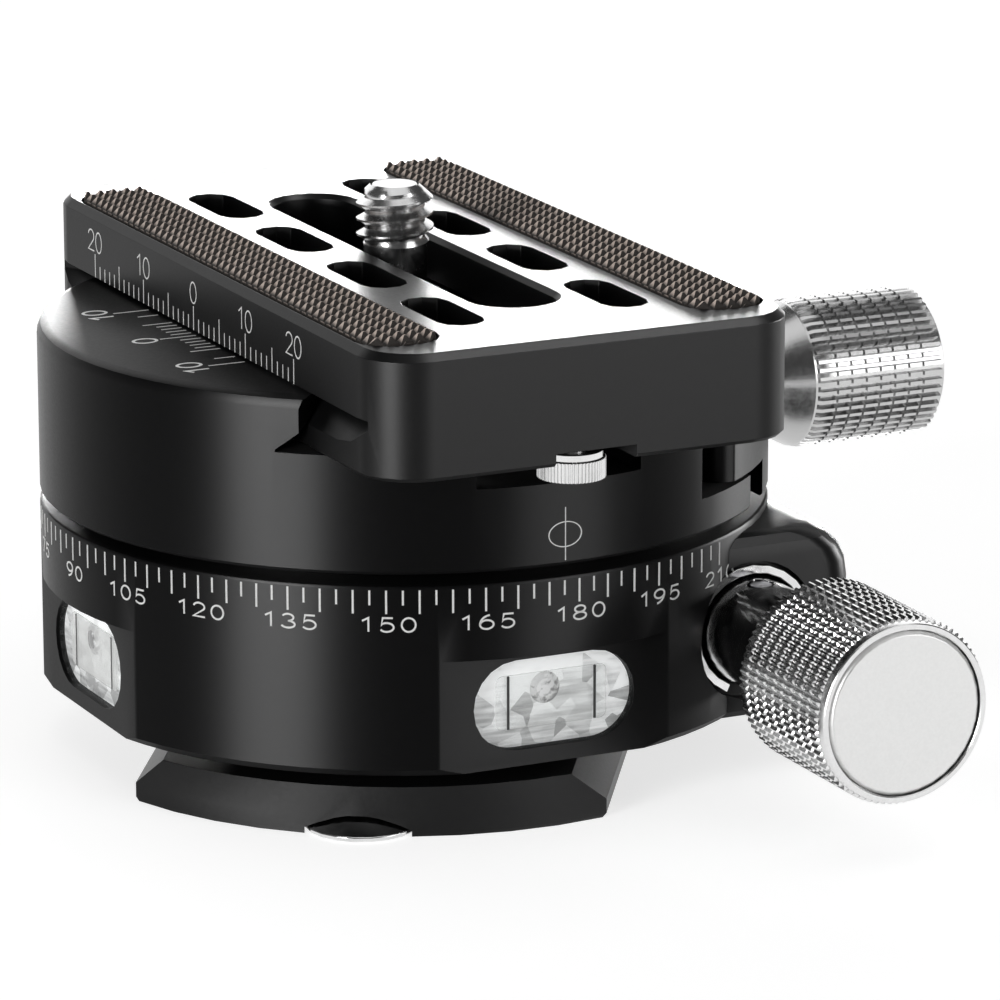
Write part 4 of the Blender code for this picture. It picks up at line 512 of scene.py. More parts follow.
def black_finish(name, roughness, sheen, **sockets):
    finish = Finish(name, BLACK, roughness, Specular_IOR_Level=sheen, **sockets)
    ends = (roughness - BLACK_SPREAD, roughness + BLACK_SPREAD)
    return finish.vary(BLACK_TONES, (*BLACK_NOISE, *ends), BLACK_RELIEF)


def turned_black():
    """Black anodised metal, turned on a lathe: its fine rings stretch highlights up and down."""
    finish = black_finish("turned_black", 0.40, 0.06, Anisotropic=0.8,
                          Anisotropic_Rotation=TURNED_ROTATION)
    rings = finish.node("ShaderNodeTangent", direction_type="RADIAL", axis="Z")
    finish.link(rings.outputs[0], finish.shader.inputs["Tangent"])
    return finish.turn(Z_AXIS, (0, 0, 0), LATHE_FINE).material


def blasted_black():
    return black_finish("blasted_black", 0.38, 0.09).vary(relief=BLASTED_RELIEF).material


def foot_black():
    return black_finish("foot_black", 0.36, 0.12).material


def knob_silver(name, axis, centre, shade):
    finish = Finish(name, (shade,) * 3, 0.24, 1.0).vary(KNOB_TONES, KNOB_ROUGHNESS)
    return finish.turn(axis, centre, LATHE_FINE).material


def cap_silver(centre):
    finish = Finish("cap_silver", (0.74, 0.74, 0.735), 0.34, 1.0).vary(CAP_TONES, CAP_ROUGHNESS)
    return finish.turn(Y_AXIS, centre, LATHE_FAINT).material


def polished_steel(name, axis, centre, roughness, shade=STEEL_SHADE):
    finish = Finish(name, (shade,) * 3, roughness, 1.0)
    ends = (roughness - STEEL_SMOOTHER, roughness + STEEL_ROUGHER)
    finish.vary(STEEL_TONES, (*STEEL_NOISE, *ends))
    return finish.turn(axis, centre, LATHE_STEEL).material


def grip_rubber(low, high):
    """Taupe rubber with painted shade: darker down in the grooves and on the flanks that face the plate's
    ends.
    """
    finish = Finish("grip_rubber", (0.33, 0.275, 0.24), 0.62, Specular_IOR_Level=0.35)
    _, parts = finish.place()
    # Painted shade: the rubber darkens down towards the grooves between its pyramids
    height = finish.spread(parts[Z_AXIS], (low, high))
    tone_and_painted_shade = finish.math("ADD", height, finish.patches(*RUBBER_PATCHES))
    # Painted shade on the flanks that face the plate's ends, taken from the direction of each face
    surface = finish.node("ShaderNodeNewGeometry")
    normal = finish.node("ShaderNodeSeparateXYZ")
    finish.link(surface.outputs["Normal"], normal.inputs[0])
    flank = finish.math("ABSOLUTE", normal.outputs[Y_AXIS])
    finish.vary_colour(finish.math("SUBTRACT", tone_and_painted_shade, flank), *RUBBER_TONE_AND_PAINTED_SHADE)
    return finish.vary(None, RUBBER_ROUGHNESS, RUBBER_RELIEF).material


def window_clear():
    """The clear block's polished skin: almost all of what lies behind it shows through."""
    finish = Finish("window_clear", (0.30, 0.31, 0.31), 0.06, Alpha=0.06)
    return finish.vary(None, WINDOW_ROUGHNESS, WINDOW_RELIEF).material


def window_liner(low, high):
    """Painted light inside the clear block: a glowing sheet with painted facets and streaks where the block
    bends light, and painted shade lower down.
    """
    # The sheet glows though it is no lamp: painted light
    finish = Finish("window_liner", (0.62, 0.63, 0.63), 0.30, Emission_Strength=0.50)
    vector, parts = finish.place()
    painted_facets = finish.node("ShaderNodeTexVoronoi")
    finish.set(painted_facets, {"Scale": GLOW_SHEET_PAINTED_FACETS})
    finish.link(vector, painted_facets.inputs["Vector"])
    split = finish.node("ShaderNodeSeparateColor")
    finish.link(painted_facets.outputs["Color"], split.inputs[0])
    painted_streaks = finish.grain(*GLOW_SHEET_PAINTED_STREAKS)
    painted_light = finish.math("ADD", finish.math("MULTIPLY", split.outputs[0], GLOW_SHEET_FACET_SHARE),
                        finish.math("MULTIPLY", painted_streaks, GLOW_SHEET_STREAK_SHARE))
    # Painted shade: darker lower down in the block
    height = finish.spread(parts[Z_AXIS], (low, high), GLOW_SHEET_SHADE_FALL)
    colour = finish.vary_colour(finish.math("ADD", painted_light, height), *GLOW_SHEET_LIGHT_RANGE)
    # The painted light also sets the colour of the glow
    finish.link(colour, finish.shader.inputs["Emission Color"])
    return finish.vary(None, GLOW_SHEET_ROUGHNESS, GLOW_SHEET_RELIEF).material


def vial_glass():
    finish = Finish("vial_glass", (0.88, 0.89, 0.88), 0.08)
    # Painted reflection: the white glass grows less clear towards its rims
    alpha = finish.spread(finish.rim(GLASS_BLEND), GLASS_RIM, GLASS_ALPHA)
    finish.link(alpha, finish.shader.inputs["Alpha"])
    return finish.vary(None, GLASS_ROUGHNESS, GLASS_RELIEF).material


def bubble_skin():
    """A bubble in clear fluid, all painted light: a faint white glow, pale in the middle, and painted shade
    darkening its rim.
    """
    finish = Finish("bubble_skin", (0.78, 0.79, 0.79), 0.10, Emission_Color=WHITE, Emission_Strength=0.15)
    # Painted shade grows towards the bubble's rim, with random patches in its tone
    tone_and_painted_shade = finish.math("ADD", finish.rim(BUBBLE_BLEND), finish.patches(*BUBBLE_PATCHES))
    finish.vary_colour(finish.math("ADD", tone_and_painted_shade, BUBBLE_SHIFT), *BUBBLE_PAINTED_LIGHT_AND_SHADE)
    return finish.vary(None, BUBBLE_ROUGHNESS, BUBBLE_RELIEF).material


# Meshes
def facing(direction, origin):
    """A frame on the surface: u to the right, v up and w out of the object."""
    outward = Vector(direction)
    across = UP.cross(outward)
    turn = Matrix((across, UP, outward)).transposed().to_4x4()
    return Matrix.Translation(origin) @ turn


def arc(centre, radius, start, end, steps):
    angles = [start + (end - start) * step / steps for step in range(steps + 1)]
    return [(centre[0] + radius * cos(angle), centre[1] + radius * sin(angle))
            for angle in angles]


def rounded_outline(half_width, half_height, corner, steps):
    """A rounded rectangle in u and v, anticlockwise. Its corners may meet to make a stadium."""
    points = []
    corners = ((1, -1, -QUARTER), (1, 1, 0), (-1, 1, QUARTER), (-1, -1, 2 * QUARTER))
    for side, level, start in corners:
        centre = (side * (half_width - corner), level * (half_height - corner))
        points += arc(centre, corner, start, start + QUARTER, steps)
    return points


def skin(rings, frame=Matrix.Identity(4)):
    """Points and faces of a closed skin over rings of equal length, with flat ends."""
    points = [frame @ Vector(point) for ring in rings for point in ring]
    count = len(rings[0])
    faces = []
    for ring in range(len(rings) - 1):
        low = ring * count
        for step in range(count):
            following = (step + 1) % count
            faces.append((low + step, low + following, low + count + following, low + count + step))
    faces.append(tuple(reversed(range(count))))
    faces.append(tuple(range((len(rings) - 1) * count, len(rings) * count)))
    return points, faces


def ring(radius, height, steps=ROUND_STEPS):
    angles = [tau * step / steps for step in range(steps)]
    return [(radius * cos(angle), radius * sin(angle), height) for angle in angles]


def levels(outline, heights):
    return [[(*point, height) for point in outline] for height in heights]


def build_mesh(name, points, faces):
    mesh = bpy.data.meshes.new(name)
    mesh.from_pydata(points, [], faces)
    shape = bmesh.new()
    shape.from_mesh(mesh)
    bmesh.ops.remove_doubles(shape, verts=shape.verts, dist=WELD)
    bmesh.ops.recalc_face_normals(shape, faces=shape.faces)
    shape.to_mesh(mesh)
    shape.free()
    return mesh


def smooth(mesh, angle=SHARP_ANGLE):
    mesh.shade_smooth()
    mesh.set_sharp_from_angle(angle=angle)


def add_object(name, data):
    thing = bpy.data.objects.new(name, data)
    bpy.context.scene.collection.objects.link(thing)
    return thing


def add_piece(name, mesh, material, body, slot, *nodes):
    """Puts a mesh in the scene as a piece of a body, standing for the CAD nodes named."""
    mesh.materials.clear()
    mesh.materials.append(material)
    piece = add_object(name, mesh)
    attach(piece, body)
    if nodes:
        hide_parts(*nodes)
    return piece


def add_skin(name, rings, place, sharp, material, body, slot, *nodes):
    """A piece with a closed skin over its rings."""
    mesh = build_mesh(name, *skin(rings, place))
    smooth(mesh, sharp)
    return add_piece(name, mesh, material, body, slot, *nodes)


def soften_edges(piece, width, segments=2):
    bevel = piece.modifiers.new("edges", "BEVEL")
    bevel.width = width
    bevel.segments = segments
    bevel.limit_method = "ANGLE"
    bevel.angle_limit = SHARP_ANGLE
    bevel.use_clamp_overlap = True
    normals = piece.modifiers.new("normals", "WEIGHTED_NORMAL")
    normals.keep_sharp = True


def dressed(node, material, slot, edge):
    """A copy of a CAD node with welded faces and softened edges, which stands for the node."""
    source = frame["nodes"][node]
    points = [vertex.co.copy() for vertex in source.data.vertices]
    faces = [tuple(face.vertices) for face in source.data.polygons]
    mesh = build_mesh(f"{node}_dressed", points, faces)
    shape = bmesh.new()
    shape.from_mesh(mesh)
    bmesh.ops.dissolve_limit(shape, angle_limit=FLAT_ANGLE, verts=shape.verts, edges=shape.edges)
    shape.to_mesh(mesh)
    shape.free()
    smooth(mesh)
    piece = add_piece(f"{node}_dressed", mesh, material, source["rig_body"], slot, node)
    soften_edges(piece, edge)
    return piece


def centre_of(node):
    low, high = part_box(node)
    return (low + high) / 2


# Print
def bow(centre_u, centre_v, half_width, half_height, start, end):
    """Points on part of an oval, its angles in degrees, for the strokes of a figure."""
    points = []
    for step in range(BOW_STEPS + 1):
        angle = radians(start + (end - start) * step / BOW_STEPS)
        points.append((centre_u + half_width * cos(angle), centre_v + half_height * sin(angle)))
    return points


def figure_strokes():
    """Centre lines of the plain figures, in a cell one unit wide and one unit high."""
    six = [bow(0.50, 0.32, 0.50, 0.32, 90, 450), bow(0.82, 0.32, 0.82, 0.68, 180, 97)]
    return {
        "0": [bow(0.50, 0.50, 0.50, 0.50, 90, 450)],
        "1": [[(0.05, 0.78), (0.50, 1.00), (0.50, 0.00)]],
        "2": [bow(0.50, 0.71, 0.47, 0.29, 170, -38) + [(0.00, 0.00), (1.00, 0.00)]],
        "3": [bow(0.46, 0.75, 0.42, 0.25, 160, -90), bow(0.46, 0.25, 0.52, 0.25, 90, -160)],
        "4": [[(0.74, 0.00), (0.74, 1.00), (0.00, 0.28), (1.00, 0.28)]],
        "5": [[(0.92, 1.00), (0.20, 1.00), (0.10, 0.50)] + bow(0.48, 0.32, 0.50, 0.32, 135, -150)],
        "6": six,
        "7": [[(0.00, 1.00), (1.00, 1.00), (0.36, 0.00)]],
        "8": [bow(0.50, 0.76, 0.42, 0.24, 90, 450), bow(0.50, 0.26, 0.50, 0.26, 90, 450)],
        "9": [[(1 - u, 1 - v) for u, v in stroke] for stroke in six],
    }


def band(path, width):
    """A flat band of even width along a path, mitred where it bends."""
    closed = dist(path[0], path[-1]) < WELD
    middles = path[:-1] if closed else path
    count = len(middles)
    points = []
    for number, (u, v) in enumerate(middles):
        before = middles[number - 1] if closed or number else middles[0]
        after = middles[(number + 1) % count] if closed or number < count - 1 else middles[-1]
        into = Vector((u - before[0], v - before[1]))
        out = Vector((after[0] - u, after[1] - v))
        into = into.normalized() if into.length else out.normalized()
        out = out.normalized() if out.length else into
        along = (into + out).normalized() if (into + out).length else into
        reach = width / 2 / max(along.dot(into), MITRE_LIMIT)
        points += [(u - along.y * reach, v + along.x * reach), (u + along.y * reach, v - along.x * reach)]
    faces = []
    for step in range(count if closed else count - 1):
        low, high = 2 * step, 2 * ((step + 1) % count)
        faces.append((low, low + 1, high + 1, high))
    return points, faces


def figures(text, height, width, gap, line, place=(0, 0)):
    """The bands of a number, centred over its place with its foot there."""
    cells = [width * FIGURE_ONE_SHARE if figure == "1" else width for figure in text]
    start = -(sum(cells) + gap * (len(text) - 1)) / 2
    inner_width, inner_height = width - line, height - line
    bands = []
    for figure, cell in zip(text, cells):
        for stroke in figure_strokes()[figure]:
            path = [(start + line / 2 + u * inner_width, line / 2 + v * inner_height) for u, v in stroke]
            points, faces = band(path, line)
            bands.append(([(point[0] + place[0], point[1] + place[1]) for point in points], faces))
        start += cell + gap
    return bands


def tick(u, low, high, width):
    half = width / 2
    return [(u - half, low), (u + half, low), (u + half, high), (u - half, high)], [(0, 1, 2, 3)]


def oval(u, v, width, height, line):
    """The outline of an oval as a flat band."""
    points = []
    for grow in (-line / 2, line / 2):
        across, along = width / 2 + grow, height / 2 + grow
        for step in range(INDEX_OVAL_STEPS):
            angle = tau * step / INDEX_OVAL_STEPS
            points.append((u + across * cos(angle), v + along * sin(angle)))
    faces = []
    for step in range(INDEX_OVAL_STEPS):
        following = (step + 1) % INDEX_OVAL_STEPS
        faces.append((step, INDEX_OVAL_STEPS + step, INDEX_OVAL_STEPS + following, following))
    return points, faces
def add_print(name, shapes, surface, material, body):
    """Thin print on a surface, which surface(u, v, lift) gives in space."""
    points, faces = [], []
    for shape_points, shape_faces in shapes:
        first = len(points)
        points += [surface(u, v, PRINT_LIFT) for u, v in shape_points]
        faces += [tuple(first + number for number in face) for face in shape_faces]
    mesh = bpy.data.meshes.new(name)
    mesh.from_pydata(points, [], faces)
    piece = add_piece(name, mesh, material, body, "black_aluminium")
    thickness = piece.modifiers.new("thickness", "SOLIDIFY")
    thickness.thickness = PRINT_LIFT + PRINT_ROOT
    thickness.offset = -1
    return piece


def on_round_body(radius):
    """The side of the round bodies: u runs round from the front, v is the height."""
    def surface(u, v, lift):
        angle = u / radius
        return Vector(((radius + lift) * sin(angle), -(radius + lift) * cos(angle), v))
    return surface


def on_plane(place):
    def surface(u, v, lift):
        return place @ Vector((u, v, lift))
    return surface


def add_ring_scale(material, radius, top):
    """Ticks and plain numbers of degrees round the lower housing, clear of its lug."""
    shapes = []
    tick_top = top - RING_TICK_TOP_DROP
    for number in range(RING_TICKS):
        angle = RING_ZERO + tau * number / RING_TICKS
        if RING_LUG_START < angle < RING_LUG_END:
            continue
        u = radius * angle
        length = RING_SHORT_TICK if number % 2 else RING_LONG_TICK
        shapes.append(tick(u, tick_top - length, tick_top, RING_TICK_WIDTH))
        if number % RING_FIGURE_EVERY == 0:
            low = tick_top - RING_LONG_TICK - RING_FIGURE_GAP - RING_FIGURE_HEIGHT
            shapes += figures(str(number * 360 // RING_TICKS), RING_FIGURE_HEIGHT, RING_FIGURE_WIDTH,
                              RING_FIGURE_SPACE, RING_FIGURE_LINE, (u + RING_FIGURE_SHIFT, low))
    add_print("ring_scale", shapes, on_round_body(radius), material, "base")


def add_index_mark(material, radius, bottom):
    low = bottom + INDEX_FOOT_RISE
    shapes = [
        tick(INDEX_X, low, low + INDEX_LENGTH, INDEX_WIDTH),
        oval(INDEX_X, bottom + INDEX_OVAL_RISE, INDEX_OVAL_WIDTH, INDEX_OVAL_HEIGHT, INDEX_WIDTH),
    ]
    add_print("index_mark", shapes, on_round_body(radius), material, "upper_assembly")


def add_plate_scale(material):
    low_corner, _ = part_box("quick_release_plate")
    side = facing(LEFT, (low_corner.x, PLATE_ZERO_Y, low_corner.z))
    shapes = []
    for number in range(-PLATE_COUNT, PLATE_LAST + 1):
        last = number == PLATE_LAST
        length = PLATE_LONG_TICK if last or number % 5 == 0 else PLATE_SHORT_TICK
        u = number * PLATE_PITCH
        shapes.append(tick(u, PLATE_TICK_RISE, PLATE_TICK_RISE + length, PLATE_TICK_WIDTH))
        if last or number % 10 == 0:
            low = PLATE_TICK_RISE + PLATE_LONG_TICK + PLATE_FIGURE_GAP
            shapes += figures(str(PLATE_COUNT if last else abs(number)), PLATE_FIGURE_HEIGHT,
                              PLATE_FIGURE_WIDTH, PLATE_FIGURE_SPACE, PLATE_FIGURE_LINE, (u, low))
    add_print("plate_scale", shapes, on_plane(side), material, "plate")


def add_vernier(material):
    _, high_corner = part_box("upper_body")
    top = Matrix((Vector((0, 1, 0)), Vector((-1, 0, 0)), UP)).transposed().to_4x4()
    place = Matrix.Translation((VERNIER_EDGE_X, VERNIER_ZERO_Y, high_corner.z)) @ top
    lengths = {0: VERNIER_ZERO_TICK, 5: VERNIER_MIDDLE_TICK, 10: VERNIER_ZERO_TICK}
    shapes = []
    for number in VERNIER_TICKS:
        for u in {number * VERNIER_PITCH, -number * VERNIER_PITCH}:
            length = lengths.get(number, VERNIER_TICK)
            shapes.append(tick(u, 0, length, VERNIER_TICK_WIDTH))
            if number % 10 == 0:
                shapes += figures(str(number), VERNIER_FIGURE_HEIGHT, VERNIER_FIGURE_WIDTH,
                                  VERNIER_FIGURE_SPACE, VERNIER_FIGURE_LINE,
                                  (u, length + VERNIER_FIGURE_GAP))
    add_print("jaw_scale", shapes, on_plane(place), material, "upper_assembly")


# Knobs
def toothed_ring(radius, depth, height, count, top_share, floor_share, phase=0.0):
    """One ring round a knob with count teeth, each four points: its top's ends and its floor's."""
    pitch = tau / count
    ring_points = []
    for tooth in range(count):
        middle = phase + tooth * pitch
        for share, reach in (
            (-top_share / 2, radius),
            (top_share / 2, radius),
            ((1 - floor_share) / 2, radius - depth),
            ((1 + floor_share) / 2, radius - depth),
        ):
            angle = middle + share * pitch
            ring_points.append((reach * cos(angle), reach * sin(angle), height))
    return ring_points


def drive_knob_rings(radius, length):
    """The knurled knob from its back face to the bottom of the recess for its cap."""
    pitch = tau * radius / RIDGES
    top_share = RIDGE_TOP / pitch
    floor_share = RIDGE_FLOOR / pitch

    def cut(reach, depth, height):
        return toothed_ring(reach, depth, height, RIDGES, top_share, floor_share)

    floor = radius - RIDGE_DEPTH
    rings = [cut(floor - KNOB_BACK_EDGE, 0, 0), cut(floor, 0, KNOB_BACK_EDGE)]
    front = length - KNOB_FRONT_ROUND
    for row in reversed(range(KNURL_ROWS)):
        end = front - KNURL_FIRST - row * KNURL_PITCH
        start = end - KNURL_BLOCK
        rings += [cut(floor, 0, start - KNURL_FLANK), cut(radius, RIDGE_DEPTH, start),
                  cut(radius, RIDGE_DEPTH, end), cut(floor, 0, end + KNURL_FLANK)]
    rim = radius - KNOB_RIM_SET_IN
    rings += [cut(reach, 0, height) for reach, height in (
        (floor, front),
        (rim, length - KNOB_RIM_EDGE),
        (rim - KNOB_RIM_EDGE, length),
        (KNOB_RIM_INNER + KNOB_RIM_EDGE, length),
        (KNOB_RIM_INNER, length - KNOB_RIM_EDGE),
        (KNOB_RIM_INNER, length - KNOB_RECESS),
    )]
    return rings


def add_drive_knob(material):
    low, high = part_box("drive_knob")
    centre = centre_of("drive_knob")
    place = facing(FRONT, (centre.x, high.y, centre.z))
    rings = drive_knob_rings((high.x - low.x) / 2, high.y - low.y)
    add_skin("knurled_drive_knob", rings, place, KNURL_SHARP, material, "worm_drive",
             "silver_aluminium", "drive_knob")


def neck_rings():
    """The clamp knob's waist, flaring from the neck to the shoulder."""
    rings = [(NECK_RADIUS - END_EDGE, 0), (NECK_RADIUS, END_EDGE)]
    growth = SHOULDER_RADIUS - NECK_RADIUS
    for step in range(NECK_STEPS + 1):
        share = step / NECK_STEPS
        reach = NECK_RADIUS + growth * (1 - cos(share * QUARTER)) ** NECK_CURVE
        rings.append((reach, NECK_FLAT + NECK_TAPER * share))
    return rings


def clamp_knob_rings(radius, length):
    def cut(reach, depth, height, top_share=TOOTH_TOP_SHARE):
        return toothed_ring(reach, depth, height, TEETH, top_share, TOOTH_FLOOR_SHARE, TOOTH_PHASE)

    floor = radius - TOOTH_DEPTH
    rings = [cut(reach, 0, height) for reach, height in neck_rings()]
    rings.append(cut(SHOULDER_RADIUS, 0, TOOTH_START))
    rings.append(cut(radius, TOOTH_DEPTH, TOOTH_START + TOOTH_POINT))
    for slit in range(SLITS):
        start = SLIT_FIRST + slit * SLIT_PITCH
        end = start + SLIT_WIDTH
        rings += [cut(radius, TOOTH_DEPTH, start), cut(floor, 0, start),
                  cut(floor, 0, end), cut(radius, TOOTH_DEPTH, end)]
    tooth_end = length - TOOTH_END_GAP
    rings.append(cut(radius, TOOTH_DEPTH, tooth_end))
    rings += [cut(reach, 0, height) for reach, height in (
        (RIM_RADIUS, tooth_end),
        (RIM_RADIUS, length - END_EDGE),
        (RIM_RADIUS - END_EDGE, length),
        (DISH_RADIUS + END_EDGE, length),
        (DISH_RADIUS, length - END_EDGE),
        (DISH_RADIUS - DISH_DEPTH, length - DISH_DEPTH),
    )]
    return rings


def add_clamp_knob(material):
    low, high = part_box("clamp_knob")
    centre = centre_of("clamp_knob")
    place = facing(RIGHT, (low.x, centre.y, centre.z))
    rings = clamp_knob_rings((high.z - low.z) / 2, high.x - low.x)
    add_skin("toothed_clamp_knob", rings, place, TOOTH_SHARP, material, "clamp_knob_and_screw",
             "silver_aluminium", "clamp_knob")


# Screws
def screw_envelope(height, top):
    """Largest radius of the threaded end at a height: the lead-in, the thread, the tip's cone."""
    start = top - THREAD_START_DROP
    lead_in = SCREW_NECK_RADIUS + height - start
    cone = TIP_RADIUS + (top - height) * (THREAD_MAJOR - TIP_RADIUS) / TIP_HEIGHT
    return min(THREAD_MAJOR, lead_in, cone)


def thread_rows(top):
    """Rows of a helical surface, four to a pitch. Its spare turns lie flat at the neck."""
    start = top - THREAD_START_DROP
    flank = (THREAD_PITCH - THREAD_CREST - THREAD_ROOT) / 2
    profile = (
        (THREAD_MINOR, 0),
        (THREAD_MINOR, THREAD_ROOT),
        (THREAD_MAJOR, THREAD_ROOT + flank),
        (THREAD_MAJOR, THREAD_ROOT + flank + THREAD_CREST),
    )
    turns = ceil(THREAD_START_DROP / THREAD_PITCH) + 1
    rows = []
    for turn in range(-THREAD_SPARE_TURNS, turns):
        for reach, offset in profile:
            row = []
            for step in range(THREAD_STEPS + 1):
                height = start + (turn + step / THREAD_STEPS) * THREAD_PITCH + offset + THREAD_PHASE
                height = min(max(height, start), top)
                angle = tau * step / THREAD_STEPS
                radius = min(reach, screw_envelope(height, top))
                row.append((radius * cos(angle), radius * sin(angle), height))
            rows.append(row)
    return rows


def thread_mesh(axis, top):
    rows = thread_rows(top)
    count = THREAD_STEPS + 1
    points = [axis + Vector(point) for row in rows for point in row]
    faces = []
    for row in range(len(rows) - 1):
        for step in range(THREAD_STEPS):
            low = row * count + step
            faces.append((low, low + 1, low + count + 1, low + count))
    return points, faces


def add_camera_screw(material):
    low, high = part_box("camera_screw")
    axis = Vector(((low.x + high.x) / 2, (low.y + high.y) / 2, 0))
    start = high.z - THREAD_START_DROP
    head_top = low.z + SCREW_HEAD_HEIGHT
    mesh = build_mesh("camera_screw_thread", *thread_mesh(axis, high.z))
    shape = bmesh.new()
    shape.from_mesh(mesh)
    bmesh.ops.dissolve_degenerate(shape, edges=shape.edges, dist=WELD)
    shape.to_mesh(mesh)
    shape.free()
    smooth(mesh, THREAD_SHARP)
    add_piece("camera_screw_thread", mesh, material, "mounting_screw", "gear_steel", "camera_screw")
    rings = [
        ring(SCREW_HEAD_RADIUS - TIP_EDGE, low.z),
        ring(SCREW_HEAD_RADIUS, low.z + TIP_EDGE),
        ring(SCREW_HEAD_RADIUS, head_top - TIP_EDGE),
        ring(SCREW_HEAD_RADIUS - TIP_EDGE, head_top),
        ring(SCREW_NECK_RADIUS, head_top),
        ring(SCREW_NECK_RADIUS, start),
        ring(THREAD_MINOR - TIP_EDGE, start + TIP_EDGE),
        ring(TIP_RADIUS - TIP_EDGE, high.z - TIP_EDGE),
        ring(TIP_RADIUS - TIP_EDGE - TIP_EDGE, high.z),
    ]
    add_skin("camera_screw_core", rings, Matrix.Translation(axis), SHARP_ANGLE, material,
             "mounting_screw", "gear_steel", "camera_screw")


def add_stop_screw(node, material):
    """A stop screw with fine flutes round the lower part of its head."""
    low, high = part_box(node)
    centre = centre_of(node)

    def cut(reach, depth, height):
        return toothed_ring(reach, depth, height, FLUTES, FLUTE_SHARE, FLUTE_SHARE)

    waist = low.z + STOP_FLUTED_HEIGHT
    head = low.z + STOP_HEAD_HEIGHT
    inner = STOP_RADIUS - STOP_STEP_IN
    rings = [
        cut(inner - STOP_EDGE, 0, low.z),
        cut(STOP_RADIUS, FLUTE_DEPTH, low.z + STOP_EDGE),
        cut(STOP_RADIUS, FLUTE_DEPTH, waist - STOP_EDGE),
        cut(inner, 0, waist),
        cut(inner, 0, head - STOP_EDGE),
        cut(inner - STOP_EDGE, 0, head),
        cut(STOP_STEM_RADIUS, 0, head),
        cut(STOP_STEM_RADIUS, 0, high.z),
    ]
    place = Matrix.Translation((centre.x, centre.y, 0))
    add_skin(f"fluted_{node}", rings, place, SHARP_ANGLE, material, "plate", "bright_steel", node)


# Grip pads
def pyramid_sheet(low, high, top):
    """A sheet of square pyramids with small flat tips, over a flat back."""
    valley = top - PYRAMID_HEIGHT
    back = low.z
    columns = ceil((high.x - low.x) / PYRAMID_PITCH) + 1
    rows = ceil((high.y - low.y) / PYRAMID_PITCH) + 1
    start_x = (low.x + high.x - columns * PYRAMID_PITCH) / 2
    start_y = (low.y + high.y - rows * PYRAMID_PITCH) / 2
    half_tip = PYRAMID_TIP / 2
    points, faces = [], []
    for column in range(columns + 1):
        for row in range(rows + 1):
            points.append((start_x + column * PYRAMID_PITCH, start_y + row * PYRAMID_PITCH, valley))
    for column in range(columns):
        for row in range(rows):
            near = column * (rows + 1) + row
            base = (near, near + rows + 1, near + rows + 2, near + 1)
            x = start_x + (column + 0.5) * PYRAMID_PITCH
            y = start_y + (row + 0.5) * PYRAMID_PITCH
            tip = len(points)
            for across, along in ((-1, -1), (1, -1), (1, 1), (-1, 1)):
                points.append((x + across * half_tip, y + along * half_tip, top))
            for side in range(4):
                after = (side + 1) % 4
                faces.append((base[side], base[after], tip + after, tip + side))
            faces.append((tip, tip + 1, tip + 2, tip + 3))
    rim = [column * (rows + 1) for column in range(columns + 1)]
    rim += [columns * (rows + 1) + row for row in range(1, rows + 1)]
    rim += [column * (rows + 1) + rows for column in reversed(range(columns))]
    rim += list(reversed(range(1, rows)))
    first = len(points)
    points += [(points[number][0], points[number][1], back) for number in rim]
    for step in range(len(rim)):
        after = (step + 1) % len(rim)
        faces.append((rim[after], rim[step], first + step, first + after))
    faces.append(tuple(reversed(range(first, first + len(rim)))))
    return points, faces


def add_grip_pad(node, material):
    low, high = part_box(node)
    middle = centre_of(node)
    mesh = build_mesh(f"faceted_{node}", *pyramid_sheet(low, high, high.z))
    piece = add_piece(f"faceted_{node}", mesh, material, "plate", "grip_rubber", node)
    outline = rounded_outline((high.x - low.x) / 2, (high.y - low.y) / 2, PAD_CORNER, PAD_CORNER_STEPS)
    place = Matrix.Translation((middle.x, middle.y, 0))
    block = skin(levels(outline, (low.z, high.z + PYRAMID_HEIGHT)), place)
    cutter = add_object("outline", build_mesh("outline", *block))
    trim = piece.modifiers.new("trim", "BOOLEAN")
    trim.operation = "INTERSECT"
    trim.solver = "EXACT"
    trim.object = cutter
    bpy.context.view_layer.update()
    trimmed = piece.evaluated_get(bpy.context.evaluated_depsgraph_get())
    trimmed_mesh = bpy.data.meshes.new_from_object(trimmed)
    piece.modifiers.remove(trim)
    piece.data = trimmed_mesh
    bpy.data.objects.remove(cutter)


